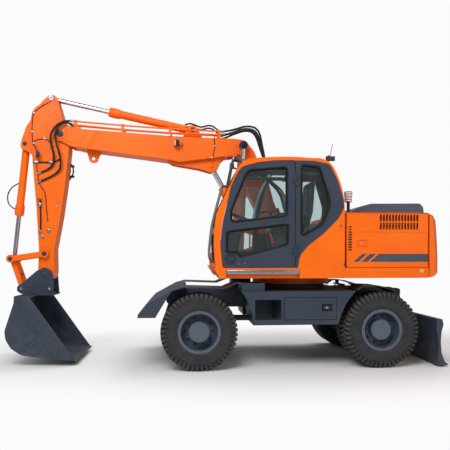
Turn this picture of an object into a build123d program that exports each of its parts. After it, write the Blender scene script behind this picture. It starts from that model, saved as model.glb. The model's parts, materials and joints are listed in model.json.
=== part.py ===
"""Wheeled excavator with a two-piece boom, twin tyres and a rear dozer blade.

Frame: millimetres, +Z up, origin on the ground under the slewing axis.
-X is the machine's forward direction, -Y its left side (the cab's side).
"""
import math
import os
from build123d import *

# ---------------------------------------------------------------- driving sizes
overall_width = 2500.0
wheelbase = 2550.0
rear_axle_x = 1090.0
tyre_radius = 527.0
tyre_width = 270.0
twin_spacing = 320.0
lug_height = 24.0
lugs_per_side = 24
lug_length = 92.0
rim_radius = 262.0
rim_wall = 10.0
rim_flange_radius = 293.0
bead_half_width = 92.0
rim_flange = 8.0
rim_disc_y = 1015.0
hub_radius = 146.0
hub_inner_y = 850.0
spindle_radius = 70.0
spindle_end_y = 1000.0
kingpin_y = 700.0
kingpin_radius = 24.0
yoke_height = 150.0
axle_tube_radius = 85.0
shaft_z = 600.0

frame_half_width = 330.0
frame_top = 1080.0
frame_bottom = 720.0
frame_waist_bottom = 800.0
box_side_y = 1200.0
box_top = 1078.0
box_bottom = 613.0
guard_thickness = 12.0
guard_y = 1215.0
fender_y = 640.0

ring_outer_radius = 596.0
ring_lower_radius = 520.0
ring_lower_top = 1150.0
deck_bottom = 1256.0
deck_top = 1400.0
deck_side_y = 1200.0
tail_radius = 2220.0
counterweight_depth = 448.0
engine_gap = 72.0
counterweight_top = 2182.0
counterweight_bottom = 1266.0
counterweight_gap = 12.0
hood_front_x = 588.0
hood_top = 2175.0
hood_wall = 40.0
service_door_thickness = 36.0
service_door_gap = 4.0
door_step = 9.0
cover_wall = 22.0

cab_left_y = -1200.0
cab_right_y = -300.0
cab_wall = 45.0
cab_trim_thickness = 6.0
glass_thickness = 6.0
glass_gap = 0.5
door_gap = 6.0

boom_y = 80.0
boom_half_width = 200.0
lower_boom_half_width = 190.0
boom_head_half_width = 115.0
arm_half_width = 150.0
lift_cylinder_offset = 300.0
bracket_plate = 25.0
plate = 30.0
pin_gap = 0.3
seal_gap = 0.3
running_gap = 10.0

bucket_half_width = 700.0
bucket_plate = 22.0
blade_half_width = 1240.0

# pivots of the working equipment, as (x, z)
boom_foot = (-150.0, 1720.0)
lift_base = (-830.0, 1560.0)
boom_joint = (-764.0, 3255.0)
positioning_base = (-700.0, 2000.0)
positioning_eye = (-1250.0, 2965.0)
arm_pivot = (-3510.0, 3395.0)
arm_cylinder_base = (-1535.0, 3520.0)
arm_cylinder_eye = (-3660.0, 3955.0)
bucket_cylinder_base = (-4043.0, 3250.0)
guide_pivot = (-3740.0, 1600.0)
link_pin = (-4229.0, 1524.0)
push_pin = (-4079.0, 1075.0)
bucket_pivot = (-3744.0, 1280.0)
blade_pivot = (1560.0, 640.0)
blade_cylinder_base = (1668.0, 1010.0)
blade_cylinder_eye = (1815.0, 430.0)

front_axle_x = rear_axle_x - wheelbase
outer_tyre_y = overall_width / 2 - tyre_width / 2
inner_tyre_y = outer_tyre_y - twin_spacing
hood_rear_x = tail_radius - counterweight_depth
SIDES = (("left", -1), ("right", 1))


# ---------------------------------------------------------------- helpers
def block(x0, x1, y0, y1, z0, z1):
    """Box between two corners."""
    centre = ((x0 + x1) / 2, (y0 + y1) / 2, (z0 + z1) / 2)
    return Pos(*centre) * Box(abs(x1 - x0), abs(y1 - y0), abs(z1 - z0))


def rounded(corners, radii, closed):
    """Straight edges joined by arcs; an arc is limited by the runs beside its corner."""
    arcs = []
    for i, at in enumerate(corners):
        before = corners[i - 1] - at
        after = corners[(i + 1) % len(corners)] - at
        at_end = not closed and i in (0, len(corners) - 1)
        if at_end or not radii[i] or before.get_angle(after) > 179.5:
            arcs.append((at, None, at))
            continue
        half = math.radians(before.get_angle(after)) / 2
        cut = min(radii[i] / math.tan(half), 0.49 * before.length, 0.49 * after.length)
        radius = cut * math.tan(half)
        inward = (before.normalized() + after.normalized()).normalized()
        middle = at + inward * (radius / math.sin(half) - radius)
        arcs.append((at + before.normalized() * cut, middle, at + after.normalized() * cut))
    edges = []
    for i, (start, middle, end) in enumerate(arcs):
        if middle is not None:
            edges.append(Edge.make_three_point_arc(start, middle, end))
        if closed or i < len(arcs) - 1:
            edges.append(Edge.make_line(end, arcs[(i + 1) % len(arcs)][0]))
    return Wire(edges)


def side_face(outline, y):
    """Face at width y from (x, z) corners; a third number is a corner's radius."""
    corners = [Vector(corner[0], y, corner[1]) for corner in outline]
    radii = [corner[2] if len(corner) == 3 else 0 for corner in outline]
    return Face(rounded(corners, radii, True))


def slab(outline, y0, y1):
    """Side profile of (x, z) or (x, z, radius) corners, extruded from y0 to y1."""
    return extrude(side_face(outline, y0), amount=y1 - y0, dir=(0, 1, 0))


def strip(outline, x0, x1):
    """Cross-section of (y, z) corners, extruded from x0 to x1."""
    wire = Polyline(*[Vector(x0, y, z) for y, z in outline], close=True)
    return extrude(make_face(wire), amount=x1 - x0, dir=(1, 0, 0))


def plates(outline, inner, thickness):
    """Two like plates, one each side of the boom's middle plane."""
    near = slab(outline, boom_y - inner - thickness, boom_y - inner)
    return near + slab(outline, boom_y + inner, boom_y + inner + thickness)


def pin(at, radius, y0, y1):
    """Cylinder along Y at a pivot (x, z)."""
    base = Plane(origin=(at[0], min(y0, y1), at[1]), z_dir=(0, 1, 0))
    return base * Cylinder(radius, abs(y1 - y0), align=(Align.CENTER, Align.CENTER, Align.MIN))


def post(x, y, z0, z1, radius):
    """Cylinder along Z."""
    return Pos(x, y, z0) * Cylinder(radius, z1 - z0, align=(Align.CENTER, Align.CENTER, Align.MIN))


def bar(start, end, radius):
    """Round bar between two points."""
    start, end = Vector(*start), Vector(*end)
    run = end - start
    base = Plane(origin=start, z_dir=run)
    return base * Cylinder(radius, run.length, align=(Align.CENTER, Align.CENTER, Align.MIN))


def tube(points, radius, bend):
    """Round bar or hose along straight runs joined by arcs."""
    path = rounded([Vector(*point) for point in points], [bend] * len(points), False)
    start = Plane(origin=path @ 0, z_dir=path % 0)
    return sweep(start * Circle(radius), path=path)


def along(start, end, distance):
    """Point on the line from start to end."""
    share = distance / math.dist(start, end)
    return (start[0] + (end[0] - start[0]) * share, start[1] + (end[1] - start[1]) * share)


def barrel(base, tip, y, radius, bore, rod_radius, pin_radius, reach, eye_width):
    """Cylinder barrel with its eye at the base and an open bore for the rod."""
    start = along(base, tip, pin_radius + 22)
    mouth = along(base, tip, reach)
    floor = along(base, tip, pin_radius + 48)
    body = bar((start[0], y, start[1]), (mouth[0], y, mouth[1]), radius)
    gland = along(base, tip, reach - 90)
    body += bar((gland[0], y, gland[1]), (mouth[0], y, mouth[1]), radius + 8)
    body += pin(base, pin_radius + 28, y - eye_width / 2, y + eye_width / 2)
    seal = along(base, tip, reach - 40)
    past = along(base, tip, reach + 5)
    body -= bar((floor[0], y, floor[1]), (seal[0], y, seal[1]), bore)
    body -= bar((floor[0], y, floor[1]), (past[0], y, past[1]), rod_radius + seal_gap)
    body -= pin(base, pin_radius + pin_gap, y - eye_width, y + eye_width)
    return body


def rod(base, tip, y, radius, pin_radius, start, eye_width):
    """Cylinder rod from inside the barrel to its eye."""
    begin = along(base, tip, start)
    run = math.dist(base, tip)
    end = along(base, tip, run - pin_radius - 18)
    shaft = bar((begin[0], y, begin[1]), (end[0], y, end[1]), radius)
    shaft += pin(tip, pin_radius + 26, y - eye_width / 2, y + eye_width / 2)
    return shaft


def spun(profile, x, side, z):
    """Revolve (radius, y) points about the wheel's axis; side is -1 for the left."""
    wire = Polyline(*[Vector(x, side * y, z + r) for r, y in profile], close=True)
    return revolve(make_face(wire), Axis((x, 0, z), (0, 1, 0)), 360)


def link(a, b, end_a, end_b, width, y0, y1, bore_a, bore_b):
    """Flat link with round ends and bores."""
    run = math.dist(a, b)
    across = (-(b[1] - a[1]) / run * width / 2, (b[0] - a[0]) / run * width / 2)
    outline = [(a[0] + across[0], a[1] + across[1]), (b[0] + across[0], b[1] + across[1]),
               (b[0] - across[0], b[1] - across[1]), (a[0] - across[0], a[1] - across[1])]
    body = slab(outline, y0, y1) + pin(a, end_a, y0, y1) + pin(b, end_b, y0, y1)
    if bore_a:
        body -= pin(a, bore_a, y0 - 1, y1 + 1)
    if bore_b:
        body -= pin(b, bore_b, y0 - 1, y1 + 1)
    return body


def save(name, solid):
    """Write one sub-part."""
    export_step(solid, f"parts/{name}.step")


os.makedirs("parts", exist_ok=True)


# ---------------------------------------------------------------- wheels
def tyre(x, side, centre):
    """One tyre: a carcass with two rows of staggered shoulder lugs."""
    tread = tyre_radius - lug_height
    half = tyre_width / 2
    bead = bead_half_width
    shoulder = rim_flange_radius + 5
    profile = [(rim_radius, centre - bead), (shoulder, centre - bead), (rim_radius + 100, centre - half),
               (tread - 45, centre - half + 4), (tread, centre - half + 34), (tread, centre + half - 34),
               (tread - 45, centre + half - 4), (rim_radius + 100, centre + half), (shoulder, centre + bead),
               (rim_radius, centre + bead)]
    body = spun(profile, x, side, tyre_radius)
    step = 360 / lugs_per_side
    lug_run = 2 * math.pi * tyre_radius / lugs_per_side * 0.56
    depth = lug_height + 2
    lugs = []
    for row, shift in ((-1, 0.0), (1, 0.5)):
        y = side * (centre + row * (half - lug_length / 2 - 2))
        for i in range(lugs_per_side):
            lug = Pos(0, 0, tread - 6 + depth / 2) * Box(lug_run, lug_length, depth)
            lugs.append(Pos(x, y, tyre_radius) * Rot(0, (i + shift) * step, 0) * lug)
    return body.fuse(*lugs)


def wheel(end, x, side_name, side):
    """Twin tyres and twin rims of one wheel."""
    tyres = [tyre(x, side, centre) for centre in (outer_tyre_y, inner_tyre_y)]
    save(f"tyres_{end}_{side_name}", Compound(children=tyres))
    inner = rim_radius - rim_wall
    outside = outer_tyre_y + bead_half_width + rim_flange
    inside = inner_tyre_y - bead_half_width - rim_flange
    between = (inner_tyre_y + bead_half_width, outer_tyre_y - bead_half_width - rim_flange)
    bell = [(inner, inside), (rim_flange_radius, inside), (rim_flange_radius, inside + rim_flange),
            (rim_radius, inside + rim_flange), (rim_radius, between[0]), (rim_flange_radius, between[0]),
            (rim_flange_radius, between[0] + rim_flange), (rim_radius, between[0] + rim_flange),
            (rim_radius, between[1]), (rim_flange_radius, between[1]), (rim_flange_radius, between[1] + rim_flange),
            (rim_radius, between[1] + rim_flange), (rim_radius, outside - rim_flange),
            (rim_flange_radius, outside - rim_flange), (rim_flange_radius, outside), (inner, outside),
            (inner, rim_disc_y), (hub_radius, rim_disc_y + 22), (hub_radius, outside - 47),
            (hub_radius - 12, outside - 35), (0, outside - 35), (0, spindle_end_y + 12),
            (spindle_radius + pin_gap, spindle_end_y + 12), (spindle_radius + pin_gap, hub_inner_y),
            (hub_radius, hub_inner_y), (hub_radius, rim_disc_y), (inner, rim_disc_y - 20)]
    save(f"rim_{end}_{side_name}", spun(bell, x, side, tyre_radius))


for end, x in (("front", front_axle_x), ("rear", rear_axle_x)):
    for side_name, side in SIDES:
        wheel(end, x, side_name, side)


# ---------------------------------------------------------------- axles and knuckles
def axle_beam(x, reach):
    """Axle housing with its differential bulge and the shaft flange towards the middle."""
    at = (x, tyre_radius)
    beam = pin(at, axle_tube_radius, -reach, reach)
    for side in (-1, 1):
        beam += spun([(0, 0), (188, 0), (180, 90), (145, 190), (axle_tube_radius, 300), (0, 300)], x, side,
                     tyre_radius)
    nose = x - math.copysign(205, x)
    return beam + bar((x, 0, shaft_z), (nose, 0, shaft_z), 60)


rear_axle = axle_beam(rear_axle_x, 640)
for side in (-1, 1):
    rear_axle += pin((rear_axle_x, tyre_radius), 180, side * 560, side * 640)
    rear_axle += pin((rear_axle_x, tyre_radius), spindle_radius, side * 640, side * spindle_end_y)
    rear_axle += block(rear_axle_x - 90, rear_axle_x + 90, side * 180, side * 320, 580, frame_bottom)
save("rear_axle", rear_axle)

low, high = tyre_radius - yoke_height, tyre_radius + yoke_height
front_axle = axle_beam(front_axle_x, 575)
front_axle += block(front_axle_x - 110, front_axle_x + 110, -120, 120, 640, frame_bottom)
for side in (-1, 1):
    y_in, y_out = side * 560, side * (kingpin_y + 55)
    front_axle += block(front_axle_x - 60, front_axle_x + 60, y_in, side * 595, low - 35, high + 35)
    for z in (low - 35, high):
        front_axle += block(front_axle_x - 55, front_axle_x + 55, y_in, y_out, z, z + 35)
    front_axle += post(front_axle_x, side * kingpin_y, low - 35, high + 35, kingpin_radius)
front_axle += pin((front_axle_x - 245, tyre_radius + 20), 40, -330, 330)
front_axle += block(front_axle_x - 245, front_axle_x - 60, -60, 60, tyre_radius - 30, tyre_radius + 60)
save("front_axle", front_axle)

for side_name, side in SIDES:
    y = side * kingpin_y
    hub = (front_axle_x, tyre_radius)
    knuckle = post(front_axle_x, y, low + 5, high - 5, 62)
    knuckle += pin(hub, 110, side * (kingpin_y + 55), side * (hub_inner_y - 8))
    knuckle += pin(hub, spindle_radius, y, side * spindle_end_y)
    knuckle += block(front_axle_x - 170, front_axle_x, y - 25, y + 25, tyre_radius - 95, tyre_radius - 60)
    knuckle -= post(front_axle_x, y, 0, 1100, kingpin_radius + pin_gap)
    save(f"knuckle_{side_name}", knuckle)

# ---------------------------------------------------------------- chassis
frame = slab([(-1780, frame_top), (-1930, 1000), (-1930, 880), (-1780, frame_bottom), (-1240, frame_bottom),
              (-1160, frame_waist_bottom), (-420, frame_waist_bottom), (-340, frame_bottom), (1420, frame_bottom),
              (1500, 560), (1640, 560), (1640, 840), (1480, frame_top)], -frame_half_width, frame_half_width)
frame += pin(blade_pivot, 35, -410, 410)
blade_cylinder_ys = (-150, 150)
tail_lug = [(1460, 1040), (1560, 860), (1640, 860, 30), (1708, 960, 40), (1713, 1050, 30), (1640, 1060),
            (1480, 1060)]
for y in blade_cylinder_ys:
    for shift_y in (-80, 58):
        frame += slab(tail_lug, y + shift_y, y + shift_y + 22)
    frame += pin(blade_cylinder_base, 22, y - 80, y + 80)
save("chassis_frame", frame)

lower_ring = post(0, 0, frame_top, ring_lower_top, ring_lower_radius) - post(0, 0, 1000, 1300, 330)
save("slew_ring_lower", lower_ring)


def box_body(y0, y1):
    """Side box with hollow-curved ends that follow the tyres."""
    with BuildSketch(Plane(origin=(0, y0, 0), x_dir=(1, 0, 0), z_dir=(0, -1, 0))) as sketch:
        with BuildLine():
            ThreePointArc((-883, box_top), (-771, 884), (-720, box_bottom))
            Line((-720, box_bottom), (470, box_bottom))
            ThreePointArc((470, box_bottom), (545, 830), (722, box_top))
            Line((722, box_top), (-883, box_top))
        make_face()
    return extrude(sketch.sketch, amount=y1 - y0, dir=(0, 1, 0))


step_x = (-698, -332)
step_z = (687, 961)
step_lip = 120.0
tool_x = (-297, 447)
tool_z = (681, 994)
tool_depth = 500.0
left_box = box_body(-box_side_y, -frame_half_width)
left_box -= block(tool_x[0], tool_x[1], -box_side_y - 10, -box_side_y + tool_depth, tool_z[0], tool_z[1])
right_box = box_body(frame_half_width, box_side_y)
tool_axis = (tool_x[0] + door_gap + 14, -box_side_y + 14)
for z0, z1 in ((tool_z[0] - 20, tool_z[0] + 40), (tool_z[1] - 40, tool_z[1] + 20)):
    left_box += post(tool_axis[0], tool_axis[1], z0, z1, 7)
boxes = []
for box, side in ((left_box, -1), (right_box, 1)):
    outer, inner, lip = side * (box_side_y + 10), side * (frame_half_width + 15), side * (box_side_y - step_lip)
    box -= block(step_x[0], step_x[1], outer, inner, step_z[0], step_z[1])
    box -= block(step_x[0], step_x[1], lip, inner, box_bottom - 10, step_z[0] + 1)
    box += block(-880, -560, side * 640, side * 1150, box_top - 2, 1190)
    boxes.append(box)
save("side_boxes", Compound(children=boxes))

tool_door = block(tool_x[0] + door_gap, tool_x[1] - door_gap, -box_side_y, -box_side_y + 40,
                  tool_z[0] + door_gap, tool_z[1] - door_gap)
hinge_edge = tool_door.edges().filter_by(Axis.Z).sort_by(Axis.X)[:2].sort_by(Axis.Y)[0]
tool_door = fillet(hinge_edge, 12)
tool_door -= post(tool_axis[0], tool_axis[1], tool_z[0] - 30, tool_z[0] + 45, 7 + pin_gap)
tool_door -= post(tool_axis[0], tool_axis[1], tool_z[1] - 45, tool_z[1] + 30, 7 + pin_gap)
tool_door -= block(232, 381, -box_side_y - 1, -box_side_y + 14, 797, 897)
tool_door += block(262, 351, -box_side_y + 4, -box_side_y + 20, 825, 869)
save("toolbox_door", tool_door)

guard_line = [(-2290, 732), (-2280, 785), (-2165, 915), (-1813, 1110), (-1661, 1149)]
guard_back = [(-1661, 1137), (-1806, 1096), (-2156, 904), (-2267, 780), (-2276, 732)]
fender_line = [(-1661, 1149), (-1131, 1130), (-949, 1205), (-880, 1205), (-880, 1190), (-945, 1190), (-1131, 1117),
               (-1661, 1137)]
cheek = [(-2290, 732), (-2280, 785), (-2165, 915), (-1813, 1110), (-1880, 1018), (-2050, 732)]
rib = [(-1930, 900), (-1930, 1034), (-2120, 930), (-2120, 880)]
guard = slab(guard_line + guard_back, -guard_y, guard_y)
for side in (-1, 1):
    guard += slab(cheek, side * guard_y, side * (guard_y - guard_thickness))
    guard += slab(fender_line, side * fender_y, side * guard_y)
    guard += block(-1720, -1640, side * 300, side * (fender_y + 60), frame_top, 1128)
    guard += slab(rib, side * 240, side * 256)
rear_fender_line = [(743, 1090), (837, 1159), (1057, 1150), (1263, 1090), (1290, 1050), (1282, 1046), (1257, 1081),
                    (1055, 1140), (840, 1149), (748, 1083)]
rear_fenders = []
for side in (-1, 1):
    fender = slab(rear_fender_line, side * fender_y, side * box_side_y)
    fender += block(900, 960, side * (frame_half_width - 40), side * (fender_y + 200), frame_top, frame_top + 24)
    fender += block(900, 960, side * (fender_y + 40), side * (fender_y + 60), frame_top, 1146)
    rear_fenders.append(fender)
save("front_guard", guard)
save("rear_fenders", Compound(children=rear_fenders))

driveline = bar((front_axle_x + 205, 0, shaft_z), (-300, 0, shaft_z), 45)
driveline += block(-300, 250, -170, 170, 540, frame_bottom)
driveline += bar((250, 0, shaft_z), (rear_axle_x - 205, 0, shaft_z), 45)
save("driveline", driveline)

# ---------------------------------------------------------------- dozer blade
mould = slab([(1870, 674), (1873, 520, 200), (1905, 320, 300), (1893, 25), (2050, 25), (1990, 75), (1945, 200, 200),
              (1932, 350, 300), (1945, 500, 200), (1975, 600, 40), (1954, 674)], -blade_half_width, blade_half_width)
for side in (-1, 1):
    mould += slab([(1915, 330), (1700, 600, 80), (1600, 690, 60), (1520, 690, 50), (1510, 600, 60), (1620, 560, 60),
                   (1915, 130)], side * 345, side * 395)
    mould -= pin(blade_pivot, 35 + pin_gap, side * 340, side * 400)
blade_lug = [(1905, 520), (1800, 490, 20), (1780, 430, 30), (1800, 380, 20), (1905, 330)]
for y in blade_cylinder_ys:
    for shift_y in (-80, 58):
        mould += slab(blade_lug, y + shift_y, y + shift_y + 22)
    mould += pin(blade_cylinder_eye, 20, y - 80, y - 33)
    mould += pin(blade_cylinder_eye, 20, y + 33, y + 80)
save("blade", mould)
blade_line = (blade_cylinder_base, blade_cylinder_eye)
save("blade_cylinder_barrels",
     Compound(children=[barrel(*blade_line, y, 45, 30, 24, 22, 370, 70) for y in blade_cylinder_ys]))
save("blade_cylinder_rods", Compound(children=[rod(*blade_line, y, 24, 20, 230, 60) for y in blade_cylinder_ys]))

# ---------------------------------------------------------------- upper frame
side_recess = 60.0
recess_z = (1246, 1372)
recess_x = (-1097, -80)
deck = slab([(-1171, deck_bottom - 10), (-1267, deck_top), (hood_rear_x, deck_top), (hood_rear_x, deck_bottom),
             (-1160, deck_bottom)], -deck_side_y, deck_side_y)
deck -= block(-1400, -950, boom_y - 345, boom_y + 345, 1200, 1500)
deck -= block(recess_x[0], recess_x[1], -deck_side_y - 1, -deck_side_y + side_recess, recess_z[0], recess_z[1])
deck += post(0, 0, ring_lower_top + pin_gap, deck_bottom, ring_outer_radius)
for side in (-1, 1):
    deck += block(1500, hood_rear_x + counterweight_gap, side * 320, side * 380, deck_bottom + 12, deck_top)
save("upper_frame", deck)

tower = [(-950, deck_top), (-930, 1560, 60), (-880, 1630, 50), (-780, 1640, 60), (-340, 1810, 80), (-240, 1840, 60),
         (-60, 1830, 60), (60, 1770, 80), (560, deck_top)]
bracket_y = lower_boom_half_width + 15
bracket = plates(tower, bracket_y, bracket_plate)
for side in (-1, 1):
    outside = bracket_y + bracket_plate
    bracket += pin(lift_base, 40, boom_y + side * (outside - 10), boom_y + side * (lift_cylinder_offset + 45))
bracket += pin(boom_foot, 45, boom_y - bracket_y - bracket_plate - 10, boom_y + bracket_y + bracket_plate + 10)
save("boom_bracket", bracket)

weight_line = [(1500, counterweight_bottom), (tail_radius - 50, counterweight_bottom),
               (tail_radius, counterweight_bottom + 50), (tail_radius, 1560), (tail_radius - 16, 1905),
               (tail_radius - 30, counterweight_top - 100), (tail_radius - 62, counterweight_top - 30),
               (tail_radius - 130, counterweight_top), (1500, counterweight_top)]
weight_face = make_face(Polyline(*[Vector(r, 0, z) for r, z in weight_line], close=True))
weight = revolve(weight_face, Axis.Z, 360)
weight &= block(hood_rear_x + counterweight_gap, tail_radius + 10, -deck_side_y, deck_side_y,
                counterweight_bottom - 1, counterweight_top + 1)
save("counterweight", weight)

# ---------------------------------------------------------------- hood, doors and engine cover
cover_axis = (640.0, hood_top + 25.0)
cover_hinge_ys = (-400, 560)
door_hinge_x = hood_rear_x - 20.0
door_hinge_y = deck_side_y - 24.0
door_hinge_heights = (1530, 2050)
flange_y = deck_side_y - service_door_thickness - service_door_gap


def cover_hinge(y):
    """Fixed half of one hinge of the engine cover: a pin between two ears."""
    half = pin(cover_axis, 10, y - 52, y + 52)
    for y0 in (y - 52, y + 32):
        half += pin(cover_axis, 20, y0, y0 + 20)
        half += block(cover_axis[0] - 20, cover_axis[0] + 20, y0, y0 + 20, hood_top, cover_axis[1])
    return half


def housing(side, inner_y, hinge_y):
    """Hood side: a hollow box whose outer face is closed by a flush door."""
    wall = hood_wall
    body = block(hood_front_x, hood_rear_x, side * inner_y, side * flange_y, deck_top, hood_top)
    body += block(hood_front_x, hood_rear_x, side * (flange_y - 5), side * deck_side_y, hood_top - 6, hood_top)
    body -= block(hood_front_x + wall, hood_rear_x - wall, side * (inner_y + 55), side * (deck_side_y + 1),
                  deck_top + wall, hood_top - wall)
    body -= block(door_hinge_x - 17, hood_rear_x + 1, side * (flange_y - 10), side * (flange_y + 1), deck_top + 5,
                  hood_top - 6)
    for z in door_hinge_heights:
        body += block(door_hinge_x - 10, door_hinge_x + 10, side * (flange_y - 20), side * door_hinge_y, z - 25, z + 25)
        body += post(door_hinge_x, side * door_hinge_y, z - 25, z + 25, 10)
        body += post(door_hinge_x, side * door_hinge_y, z - 52, z + 52, 6)
    return body + cover_hinge(hinge_y)


def service_door(side):
    """Flush hood door with a stepped skin, louvres and a latch recess."""
    top, bottom = hood_top - 12, deck_top + 6
    crease = 1907.0
    outer = side * deck_side_y
    lower = side * (deck_side_y - door_step)
    inner = side * (deck_side_y - service_door_thickness)
    door = strip([(inner, bottom), (lower, bottom), (lower, crease - 18), (outer, crease), (outer, top), (inner, top)],
                 hood_front_x + 4, hood_rear_x - 8)
    edge = door.edges().filter_by(Axis.Z).sort_by(Axis.X)[-3:].filter_by(
        lambda e: abs(e.center().Y) > deck_side_y - door_step - 1)
    door = fillet(edge, 7)
    for row_x, row_z0, row_z1 in ((1064, 2055, 2143), (1064, 1937, 2033)):
        for i in range(13):
            x = row_x + i * 44
            door -= block(x, x + 20, outer * 1.01, inner * 0.9, row_z0, row_z1)
    for i in range(10):
        z = 1647 + i * 35
        door -= block(614, 657, outer * 1.01, inner * 0.9, z, z + 16)
    door -= block(730, 879, outer, side * (deck_side_y - door_step - 14), 1676, 1787)
    door += block(760, 849, side * (deck_side_y - door_step - 4), side * (deck_side_y - door_step - 20), 1704, 1759)
    for z in door_hinge_heights:
        door -= block(door_hinge_x - 18, hood_rear_x, side * (deck_side_y - 8), inner * 0.99, z - 30, z + 30)
        door -= post(door_hinge_x, side * door_hinge_y, z - 57, z + 57, 6 + pin_gap)
    return door


save("left_housing", housing(-1, 345, -400))
right = housing(1, 500, 560)
right += block(hood_front_x, hood_front_x + 20, -345, 500, deck_top, hood_top)
save("right_housing", right)
save("service_door_left", service_door(-1))
save("service_door_right", service_door(1))
save("engine", block(720, hood_rear_x - engine_gap, -330, 480, deck_top, hood_top - 55))

cover_seat = hood_top + seal_gap
cover_lift = counterweight_top + 6.0
cover_line = [(690, cover_seat), (715, 2212, 20), (825, 2227, 30), (931, 2292, 40), (1014, 2321, 100),
              (1121, 2349, 80), (tail_radius - 341, 2359, 60), (tail_radius - 290, 2306, 30),
              (tail_radius - 279, 2236, 40), (tail_radius - 279, cover_lift), (hood_rear_x - 40, cover_lift),
              (hood_rear_x - 52, cover_seat)]
cover_face = side_face(cover_line, 0)
cover_y = (-600, 700)
cover = extrude(Pos(0, cover_y[0], 0) * cover_face, amount=cover_y[1] - cover_y[0], dir=(0, 1, 0))
hollow = offset(cover_face, amount=-cover_wall)
hollow_width = cover_y[1] - cover_y[0] - 2 * cover_wall
cover -= extrude(Pos(0, cover_y[0] + cover_wall, 0) * hollow, amount=hollow_width, dir=(0, 1, 0))
cover -= block(745, tail_radius - 310, cover_y[0] + cover_wall, cover_y[1] - cover_wall, cover_seat - 5,
               cover_lift + cover_wall + 20)
for y in cover_hinge_ys:
    cover += block(cover_axis[0], 705, y - 30, y + 30, cover_axis[1] - 10, cover_axis[1] + 10)
    cover += pin(cover_axis, 20, y - 30, y + 30)
    cover -= pin(cover_axis, 10 + pin_gap, y - 40, y + 40)
save("top_cover", cover)

tank = block(-450, 560, 480, deck_side_y, deck_top, 2060)
tank = fillet(tank.edges().filter_by(Axis.X).sort_by(Axis.Z)[-2:], 50)
front_box = block(-1230, -470, 480, deck_side_y, deck_top, 1620)
front_box = fillet(front_box.edges().filter_by(Axis.Y).sort_by(Axis.Z)[-2:], 40)
tank = tank + front_box + block(-471, -449, 480, deck_side_y, deck_top, 1600)
tank += post(-150, 850, 2059, 2095, 60)
for x in (-1180, -520):
    tank += tube([(x, 1150, 1600), (x, 1150, 1980), (x + math.copysign(180, -850 - x), 1150, 1980)], 16, 60)
tank += bar((-1000, 1150, 1980), (-700, 1150, 1980), 16)
save("tank_and_box", tank)

# ---------------------------------------------------------------- cab
def cab_face(y):
    """Outer side profile of the cab."""
    with BuildSketch(Plane(origin=(0, y, 0), x_dir=(1, 0, 0), z_dir=(0, -1, 0))) as sketch:
        with BuildLine():
            ThreePointArc((-1235, deck_top), (-1262, 1760), (-1228, 2140))
            Line((-1228, 2140), (-936, 2770))
            ThreePointArc((-936, 2770), (-860, 2855), (-711, 2903))
            ThreePointArc((-711, 2903), (-250, 2931), (126, 2917))
            ThreePointArc((126, 2917), (316, 2879), (405, 2787))
            ThreePointArc((405, 2787), (520, 2500), (558, 2196))
            Line((558, 2196), (558, deck_top))
            Line((558, deck_top), (-1235, deck_top))
        make_face()
    return sketch.sketch


def cab_body(inset, y0, y1):
    """The cab's profile, drawn in by inset, between two widths."""
    face = cab_face(y0)
    if inset:
        face = offset(face, amount=-inset)
    return extrude(face, amount=y1 - y0, dir=(0, 1, 0))


door_outline = [(-146, 1408, 12), (-1140, 1408, 30), (-1172, 1747, 900), (-1137, 2041, 500), (-1011, 2555, 900),
                (-884, 2780, 160), (-646, 2845, 300), (-407, 2873, 300), (-146, 2878, 12)]
upper_window = [(-1036, 2190, 120), (-812, 2745, 130), (-246, 2797, 55), (-246, 2113, 60), (-1040, 2012, 75)]
lower_window = [(-1092, 1905, 40), (-232, 2013, 40), (-238, 1716, 45), (-905, 1545, 30), (-950, 1600, 20),
                (-1100, 1612, 20)]
quarter_window = [(-62, 2828, 40), (205, 2803, 70), (371, 2299, 300), (251, 1998, 160), (-6, 1846, 60),
                  (-66, 1860, 30)]
trim_outline = [(-133, 1402), (-105, 1402), (-74, 1573, 150), (28, 1699, 300), (251, 1872, 300), (458, 2079, 200),
                (552, 2237, 200), (535, 2364, 300), (457, 2615, 400), (345, 2835, 90), (126, 2880, 300),
                (-133, 2880)]
right_front_window = [(-1105, 1640, 50), (-1150, 2130, 200), (-900, 2700, 120), (-440, 2790, 50), (-545, 2500, 600),
                      (-630, 2120, 500), (-650, 1640, 50)]
right_rear_window = [(-560, 1900, 50), (-545, 2130, 400), (-465, 2500, 600), (-350, 2790, 60), (290, 2790, 90),
                     (440, 2300, 300), (400, 1900, 70)]
cab_y = (cab_left_y, cab_right_y)
front_opening = block(-1400, -850, cab_left_y + 70, cab_right_y - 70, 1960, 2720)
foot_opening = block(-1400, -1150, cab_left_y + 90, cab_right_y - 90, 1500, 1880)
rear_opening = block(450, 700, cab_left_y + 90, cab_right_y - 90, 2000, 2600)
roof_opening = block(-750, -200, cab_left_y + 150, cab_right_y - 150, 2800, 3000)
curved_openings = (front_opening, foot_opening, rear_opening, roof_opening)

shell = cab_body(0, *cab_y) - cab_body(cab_wall, cab_left_y + cab_wall, cab_right_y - cab_wall)
door_hole = offset(side_face(door_outline, cab_left_y - 10), amount=door_gap)
shell -= extrude(door_hole, amount=cab_wall + 20, dir=(0, 1, 0))
shell -= slab(quarter_window, cab_left_y - 10, cab_left_y + cab_wall + 10)
for window in (right_front_window, right_rear_window):
    shell -= slab(window, cab_right_y - cab_wall - 10, cab_right_y + 10)
for opening in curved_openings:
    shell -= opening
save("cab_shell", shell)

cab_hinge_x = -139.0
cab_hinge_y = cab_left_y - cab_trim_thickness - 17
cab_hinge_heights = (1641, 2617)
cab_hinge_half = 78.0


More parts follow.
